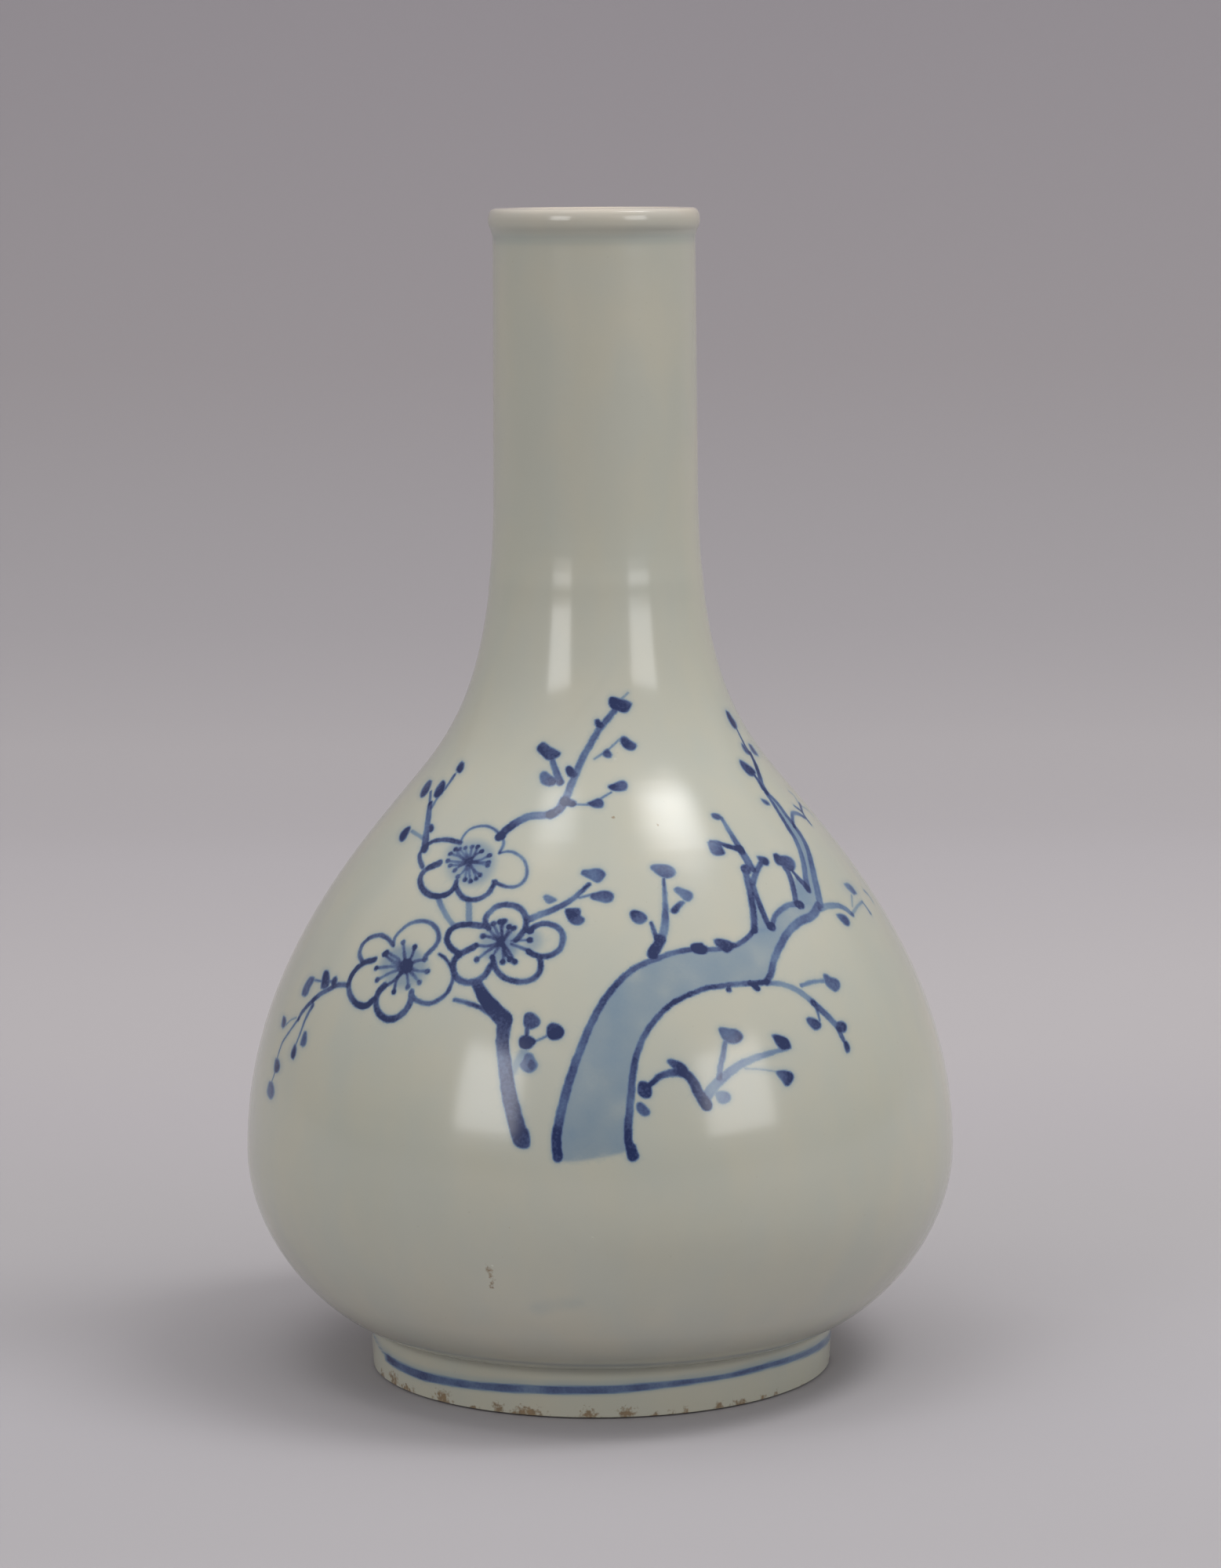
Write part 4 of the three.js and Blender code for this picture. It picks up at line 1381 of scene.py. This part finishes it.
# %% The porcelain glaze, dipped and fired to a glassy coat
# It gives the eye sharp mirrored lamps over a soft, faintly clouded grey.
def glaze_material(name, painted):
    """The glaze over the clay's tones, and over cobalt and iron where it is painted."""
    material = new_material(name)
    tree = material.node_tree
    place = add_node(tree, "ShaderNodeTexCoord").outputs["Object"]
    height = add_node(tree, "ShaderNodeSeparateXYZ", {"Vector": place}).outputs["Z"]
    # The tones by height carry painted light: lighter near the foot, on the lower body and on the neck.
    height_share = add_node(
        tree, "ShaderNodeMapRange", {"Value": height, "From Max": vase_height * MM})
    tones = add_node(tree, "ShaderNodeValToRGB", {"Fac": height_share.outputs[0]})
    body = set_ramp(tones, [(level / vase_height, linear(tone)) for level, tone in glaze_tones_with_painted_light])
    tall = add_node(tree, "ShaderNodeMapping", {"Vector": place, "Scale": cloud_stretch}).outputs[0]
    for size_mm, first, second in cloud_tints:
        clouds = add_node(
            tree, "ShaderNodeTexNoise", {"Vector": tall, "Scale": noise_scale(size_mm), "Detail": 2.0})
        patches = add_node(
            tree, "ShaderNodeMapRange",
            {"Value": clouds.outputs[0], "From Min": cloud_edges[0], "From Max": cloud_edges[1]})
        tint = add_node(
            tree, "ShaderNodeMix", {0: patches.outputs[0], 6: linear(first), 7: linear(second)},
            data_type="RGBA").outputs[2]
        body = add_node(
            tree, "ShaderNodeMix", {0: 1.0, 6: body, 7: tint},
            data_type="RGBA", blend_type="MULTIPLY").outputs[2]
    if painted:
        cobalt_there = add_node(tree, "ShaderNodeAttribute", attribute_name="cobalt").outputs["Fac"]
        strength = cobalt_there
        for size_mm, detail, swing_share, squared in cobalt_swings:
            spots = add_node(
                tree, "ShaderNodeTexNoise",
                {"Vector": place, "Scale": noise_scale(size_mm), "Detail": detail})
            swing = add_node(
                tree, "ShaderNodeMapRange",
                {"Value": spots.outputs[0], "From Min": swing_edges[0], "From Max": swing_edges[1],
                 "To Min": -swing_share / 2, "To Max": swing_share / 2})
            change = add_node(
                tree, "ShaderNodeMath", {0: swing.outputs[0], 1: strength}, operation="MULTIPLY")
            if squared:
                change = add_node(
                    tree, "ShaderNodeMath", {0: change.outputs[0], 1: cobalt_there},
                    operation="MULTIPLY")
            strength = add_node(
                tree, "ShaderNodeMath", {0: strength, 1: change.outputs[0]},
                operation="ADD").outputs[0]
        tint = add_node(tree, "ShaderNodeValToRGB", {"Fac": strength})
        body = add_node(
            tree, "ShaderNodeMix", {0: 1.0, 6: body, 7: set_ramp(tint, cobalt_stops)},
            data_type="RGBA", blend_type="MULTIPLY").outputs[2]
        iron_there = add_node(tree, "ShaderNodeAttribute", attribute_name="iron").outputs["Fac"]
        grains = add_node(
            tree, "ShaderNodeTexNoise",
            {"Vector": place, "Scale": noise_scale(crumb_size), "Detail": crumb_detail})
        crumbs = add_node(
            tree, "ShaderNodeMath", {0: iron_there, 1: crumb_share, 2: grains.outputs[0]},
            operation="MULTIPLY_ADD")
        stained = add_node(
            tree, "ShaderNodeMapRange",
            {"Value": crumbs.outputs[0], "From Min": crumb_edges[0], "From Max": crumb_edges[1],
             "To Max": strongest_stain})
        scorch = add_node(
            tree, "ShaderNodeTexNoise",
            {"Vector": place, "Scale": noise_scale(iron_brown_size), "Detail": 2.0})
        light, dark = (linear(brown) for brown in iron_browns)
        brown = add_node(
            tree, "ShaderNodeMix", {0: scorch.outputs[0], 6: light, 7: dark},
            data_type="RGBA").outputs[2]
        body = add_node(
            tree, "ShaderNodeMix", {0: stained.outputs[0], 6: body, 7: brown},
            data_type="RGBA").outputs[2]
    rings = add_node(
        tree, "ShaderNodeMapping", {"Vector": place, "Scale": throwing_line_stretch}).outputs[0]
    throwing = add_node(
        tree, "ShaderNodeTexNoise",
        {"Vector": rings, "Scale": noise_scale(throwing_line_size), "Detail": 1.0})
    bump = add_node(
        tree, "ShaderNodeBump",
        {"Height": throwing.outputs[0], "Strength": throwing_line_strength,
         "Distance": throwing_line_depth})
    shader = add_node(
        tree, "ShaderNodeBsdfPrincipled",
        {"Base Color": body, "Roughness": glaze_roughness, "IOR": glaze_ior,
         "Normal": bump.outputs[0]})
    add_node(tree, "ShaderNodeOutputMaterial", {"Surface": shader.outputs[0]})
    return material


painted_glaze = glaze_material("clear_porcelain_glaze_over_cobalt", True)
plain_glaze = glaze_material("clear_porcelain_glaze", False)
outer_glaze.data.materials.append(painted_glaze)
inner_glaze.data.materials.append(plain_glaze)
base_glaze.data.materials.append(plain_glaze)
print("nodes in the painted glaze:", len(painted_glaze.node_tree.nodes))

# %% Bare clay, fired white body and slip
# Unglazed clay is fired dry and rough, which gives the eye a dull, grainy brown on the foot. The
# white body and the slip are the same clay, kept from smoke by the glaze over them.
sand_grain = 0.5
sand_depth = 0.0003
sand_strength = 0.5
cloudy_detail = 4.0


def clay_material(name, light, dark, cloud_mm, roughness):
    """Fired clay without glaze, clouded between two colours and grainy to the light."""
    material = new_material(name)
    tree = material.node_tree
    place = add_node(tree, "ShaderNodeTexCoord").outputs["Object"]
    clouds = add_node(
        tree, "ShaderNodeTexNoise",
        {"Vector": place, "Scale": noise_scale(cloud_mm), "Detail": cloudy_detail})
    colour = add_node(
        tree, "ShaderNodeMix", {0: clouds.outputs[0], 6: linear(light), 7: linear(dark)},
        data_type="RGBA").outputs[2]
    sand = add_node(
        tree, "ShaderNodeTexNoise",
        {"Vector": place, "Scale": noise_scale(sand_grain), "Detail": 2.0})
    bump = add_node(
        tree, "ShaderNodeBump",
        {"Height": sand.outputs[0], "Strength": sand_strength, "Distance": sand_depth})
    shader = add_node(
        tree, "ShaderNodeBsdfPrincipled",
        {"Base Color": colour, "Roughness": roughness, "Normal": bump.outputs[0]})
    add_node(tree, "ShaderNodeOutputMaterial", {"Surface": shader.outputs[0]})
    return material


foot_ring.data.materials.append(clay_material("browned_foot_clay", "#9A7A58", "#4A3626", 4, 0.85))
bisque = clay_material("fired_porcelain_clay", "#CFCABB", "#C4BEAE", 9, 0.8)
slip = clay_material("fired_porcelain_slip", "#D8D3C4", "#CCC6B6", 3, 0.85)
for node_name in ("lower_body", "upper_body", "neck", "lip"):
    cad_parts[node_name].material_slots[0].material = bisque
for node_name in ("foot_seam", "belly_seam", "neck_seam"):
    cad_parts[node_name].material_slots[0].material = slip
print("clay materials:", foot_ring.data.materials[0].name, bisque.name, slip.name)

# %% [markdown]
# ## The paper sweep
#
# The vase stands on a lilac-grey paper that curves up behind it, so that floor and background run
# into one another. It could be a floor and a wall, but their corner would show. One bent sheet has
# no corner, and its tones by depth are matched to the photograph. Those tones are painted light and
# shade: darker in front of and round the vase and towards the top of the sweep, lightest behind it.

# %% The bent sheet, in metres
sheet_half_size = 3.0
sheet_back = 2.0
sheet_rise = 2.6
bend_size = 1.1
bend_segments = 24
near_enough = 0.01
sweep_bm = bmesh.new()
bmesh.ops.create_grid(sweep_bm, x_segments=1, y_segments=1, size=sheet_half_size)
back_edge = [
    edge for edge in sweep_bm.edges
    if all(end.co.y > sheet_half_size - near_enough for end in edge.verts)]
bmesh.ops.translate(sweep_bm, verts=list(back_edge[0].verts), vec=(0, sheet_back - sheet_half_size, 0))
raised = bmesh.ops.extrude_edge_only(sweep_bm, edges=back_edge)
top_points = [part for part in raised["geom"] if isinstance(part, bmesh.types.BMVert)]
bmesh.ops.translate(sweep_bm, verts=top_points, vec=(0, 0, sheet_rise))
bend_edges = [
    edge for edge in sweep_bm.edges
    if all(abs(end.co.y - sheet_back) < near_enough and end.co.z < near_enough for end in edge.verts)]
bmesh.ops.bevel(
    sweep_bm, geom=bend_edges, offset=bend_size, offset_type="OFFSET", affect="EDGES",
    segments=bend_segments, profile=0.5, material=-1)
sweep_mesh = bpy.data.meshes.new("paper_sweep")
bmesh.ops.recalc_face_normals(sweep_bm, faces=sweep_bm.faces[:])
sweep_bm.to_mesh(sweep_mesh)
sweep_bm.free()
sweep_mesh.shade_smooth()
sweep = bpy.data.objects.new("paper_sweep", sweep_mesh)
bpy.context.scene.collection.objects.link(sweep)
print("faces in the sweep:", len(sweep_mesh.polygons))

# %% Matt background paper, with painted light and shade in its tones by distance behind the vase in metres
# These tones paint the fall of the light: darker near the vase and towards the top, lightest about 0.8
# m behind.
paper_tones_with_painted_falloff = [
    (-0.15, "#A6A3A5"), (-0.06, "#AAA7AA"), (0.15, "#ACA9AA"), (0.29, "#B1ADAF"), (0.39, "#B5B1B2"),
    (0.52, "#B8B4B5"), (0.8, "#BAB6B8"), (1.07, "#B8B4B5"), (1.24, "#AEAAAC"), (1.37, "#AAA6A8"),
    (1.5, "#A6A1A3"), (1.75, "#A5A0A4")]
nearest_tone = paper_tones_with_painted_falloff[0][0]
tone_stretch = paper_tones_with_painted_falloff[-1][0] - nearest_tone
paper = new_material("lilac_grey_paper_with_painted_falloff")
paper_tree = paper.node_tree
paper_place = add_node(paper_tree, "ShaderNodeTexCoord").outputs["Object"]
depth_back = add_node(paper_tree, "ShaderNodeSeparateXYZ", {"Vector": paper_place}).outputs["Y"]
depth_share = add_node(
    paper_tree, "ShaderNodeMapRange",
    {"Value": depth_back, "From Min": nearest_tone, "From Max": nearest_tone + tone_stretch})
paper_ramp = add_node(paper_tree, "ShaderNodeValToRGB", {"Fac": depth_share.outputs[0]})
paper_stops = [((place - nearest_tone) / tone_stretch, linear(tone)) for place, tone in paper_tones_with_painted_falloff]
paper_shader = add_node(
    paper_tree, "ShaderNodeBsdfPrincipled",
    {"Base Color": set_ramp(paper_ramp, paper_stops), "Roughness": 0.9, "Specular IOR Level": 0.2})
add_node(paper_tree, "ShaderNodeOutputMaterial", {"Surface": paper_shader.outputs[0]})
sweep_mesh.materials.append(paper)
print("tones of the paper:", len(paper_tones_with_painted_falloff))

# %% [markdown]
# ## The lamps
#
# The lamps are known only from their reflections: an upright pair on neck and belly, and a slanting
# leaf on each side of the shoulder. They could be small bright lamps, but those would give hard
# points. Two softboxes in front draw the upright pair, oval ones overhead draw the leaves, and two
# fills that no reflection shows lighten the shoulder.

# %% A lamp with a cloth
vase_middle = Vector((0, 0, 0.15))


def fade_edges(lamp_data, fade, oval):
    """Dims a lamp towards its edges or its oval rim, as a softbox's cloth does."""
    lamp_data.use_nodes = True
    tree = lamp_data.node_tree
    tree.nodes.clear()
    spot = add_node(tree, "ShaderNodeNewGeometry").outputs["Parametric"]
    if oval:
        offset = add_node(
            tree, "ShaderNodeVectorMath", {0: spot, 1: (0.5, 0.5, 0)}, operation="SUBTRACT")
        reach = add_node(
            tree, "ShaderNodeVectorMath", {0: offset.outputs["Vector"]}, operation="LENGTH")
        level = add_node(
            tree, "ShaderNodeMapRange",
            {"Value": reach.outputs["Value"], "From Min": 0.5 - fade, "From Max": 0.5,
             "To Min": 1.0, "To Max": 0.0},
            interpolation_type="SMOOTHSTEP").outputs[0]
    else:
        sides = add_node(tree, "ShaderNodeSeparateXYZ", {"Vector": spot})
        level = 1.0
        for axis in ("X", "Y"):
            near = sides.outputs[axis]
            far = add_node(tree, "ShaderNodeMath", {0: 1.0, 1: near}, operation="SUBTRACT")
            edge = add_node(
                tree, "ShaderNodeMath", {0: near, 1: far.outputs[0]}, operation="MINIMUM")
            rise = add_node(
                tree, "ShaderNodeMapRange", {"Value": edge.outputs[0], "From Max": fade},
                interpolation_type="SMOOTHSTEP")
            level = add_node(
                tree, "ShaderNodeMath", {0: rise.outputs[0], 1: level},
                operation="MULTIPLY").outputs[0]
    cloth = add_node(tree, "ShaderNodeEmission", {"Strength": level})
    add_node(tree, "ShaderNodeOutputLight", {"Surface": cloth.outputs[0]})


def softbox(name, place, width, height, radiance, turn=0.0, aim=vase_middle, fade=0.12, oval=False):
    """An area lamp of some radiance, facing a point and turned about its own axis."""
    lamp_data = bpy.data.lights.new(name, "AREA")
    lamp_data.shape = "RECTANGLE"
    lamp_data.size = width
    lamp_data.size_y = height
    lamp_data.energy = radiance * width * height * math.pi
    fade_edges(lamp_data, fade, oval)
    lamp = bpy.data.objects.new(name, lamp_data)
    bpy.context.scene.collection.objects.link(lamp)
    facing = (Vector(place) - aim).to_track_quat("Z", "Y").to_matrix().to_4x4()
    lamp.matrix_world = Matrix.Translation(place) @ facing @ Matrix.Rotation(turn, 4, "Z")
    lamp.visible_camera = False
    return lamp


def direction(azimuth, elevation):
    """A direction by its angle from the front towards the right, and its height, in degrees."""
    azimuth, elevation = math.radians(azimuth), math.radians(elevation)
    level = math.cos(elevation)
    return Vector((level * math.sin(azimuth), -level * math.cos(azimuth), math.sin(elevation)))


# %% The two softboxes in front
# Each has a core just before it that only reflections show, as the lamp's own shine through cloth.
left_way = direction(-37, 17)
right_way = direction(46.6, 16.1)
cloth_distance = 2.2
core_distance = 2.19
left_size = (0.9, 0.94)
right_size = (1.04, 0.88)
softbox("front_left_softbox", vase_middle + cloth_distance * left_way, *left_size, 2.97)
softbox("front_right_softbox", vase_middle + cloth_distance * right_way, *right_size, 1.96)
left_core = softbox(
    "front_left_softbox_core", vase_middle + core_distance * left_way, *left_size, 1.4)
right_core = softbox(
    "front_right_softbox_core", vase_middle + core_distance * right_way, *right_size, 1.8)
for core in (left_core, right_core):
    core.visible_diffuse = False
print("left softbox in metres:", tuple(round(value, 3) for value in left_core.location))

# %% The lamps overhead
overhead_height = 1.5


def overhead_lamp(name, x, y, width, height, radiance, turn, fade, oval=True):
    """A softbox that hangs level above the vase."""
    place = Vector((x, y, overhead_height))
    return softbox(
        name, place, width, height, radiance, math.radians(turn), Vector((x, y, 0)), fade, oval)


overhead_lamp("top_left_softbox", -0.4, -0.412, 0.62, 0.14, 6.0, -20, 0.35)
overhead_lamp("top_left_lower_softbox", -0.48, -0.45, 0.5, 0.12, 4.0, -20, 0.35)
overhead_lamp("top_right_softbox", 0.69, -0.2, 1.03, 0.46, 10.5, 33, 0.4)
overhead_lamp("top_right_lower_softbox", 0.86, -0.31, 0.6, 0.22, 6.5, 33, 0.45)
left_fill = overhead_lamp("top_left_fill", -0.4, -0.44, 0.7, 0.35, 2.0, -21, 0.02, False)
right_fill = overhead_lamp("top_right_fill", 0.75, -0.27, 0.9, 0.4, 4.4, 38, 0.02, False)
for fill in (left_fill, right_fill):
    fill.visible_glossy = False
print("lamps:", len(bpy.data.lights))

# %% [markdown]
# ## The light of the room
#
# Walls and ceiling send a soft light back, stronger from above, from the right and from behind. It
# could come from more lamps, but a world that depends only on direction is smoother. Reflections
# see it dimmed, because the photograph's glaze mirrors a dark room between the lamps.

# %% A world with a level for each direction
# Each side has its axis, and its level there; a level below zero counts the other way.
room_light = {
    "above": ("Z", 1.0), "left": ("X", -0.29), "right": ("X", 0.36), "behind": ("Y", 0.385)}
dimmed_room = 0.4
world = bpy.data.worlds.new("studio")
bpy.context.scene.world = world
world.use_nodes = True
air = world.node_tree
air.nodes.clear()
towards = add_node(air, "ShaderNodeTexCoord").outputs["Generated"]
way = add_node(air, "ShaderNodeSeparateXYZ", {"Vector": towards})
strength = 0.0
for axis, level in room_light.values():
    slope = add_node(air, "ShaderNodeMath", {0: way.outputs[axis], 1: level}, operation="MULTIPLY")
    side = add_node(air, "ShaderNodeMath", {0: slope.outputs[0], 1: 0.0}, operation="MAXIMUM")
    strength = add_node(
        air, "ShaderNodeMath", {0: side.outputs[0], 1: strength}, operation="ADD").outputs[0]
mirrored = add_node(air, "ShaderNodeLightPath").outputs["Is Glossy Ray"]
dimming = add_node(
    air, "ShaderNodeMapRange", {"Value": mirrored, "To Min": 1.0, "To Max": dimmed_room})
strength = add_node(
    air, "ShaderNodeMath", {0: strength, 1: dimming.outputs[0]}, operation="MULTIPLY").outputs[0]
world_air = add_node(air, "ShaderNodeBackground", {"Color": linear("#FFFDFF"), "Strength": strength})
add_node(air, "ShaderNodeOutputWorld", {"Surface": world_air.outputs[0]})
bpy.context.scene.view_settings.view_transform = "Standard"
print("nodes in the world:", len(air.nodes))
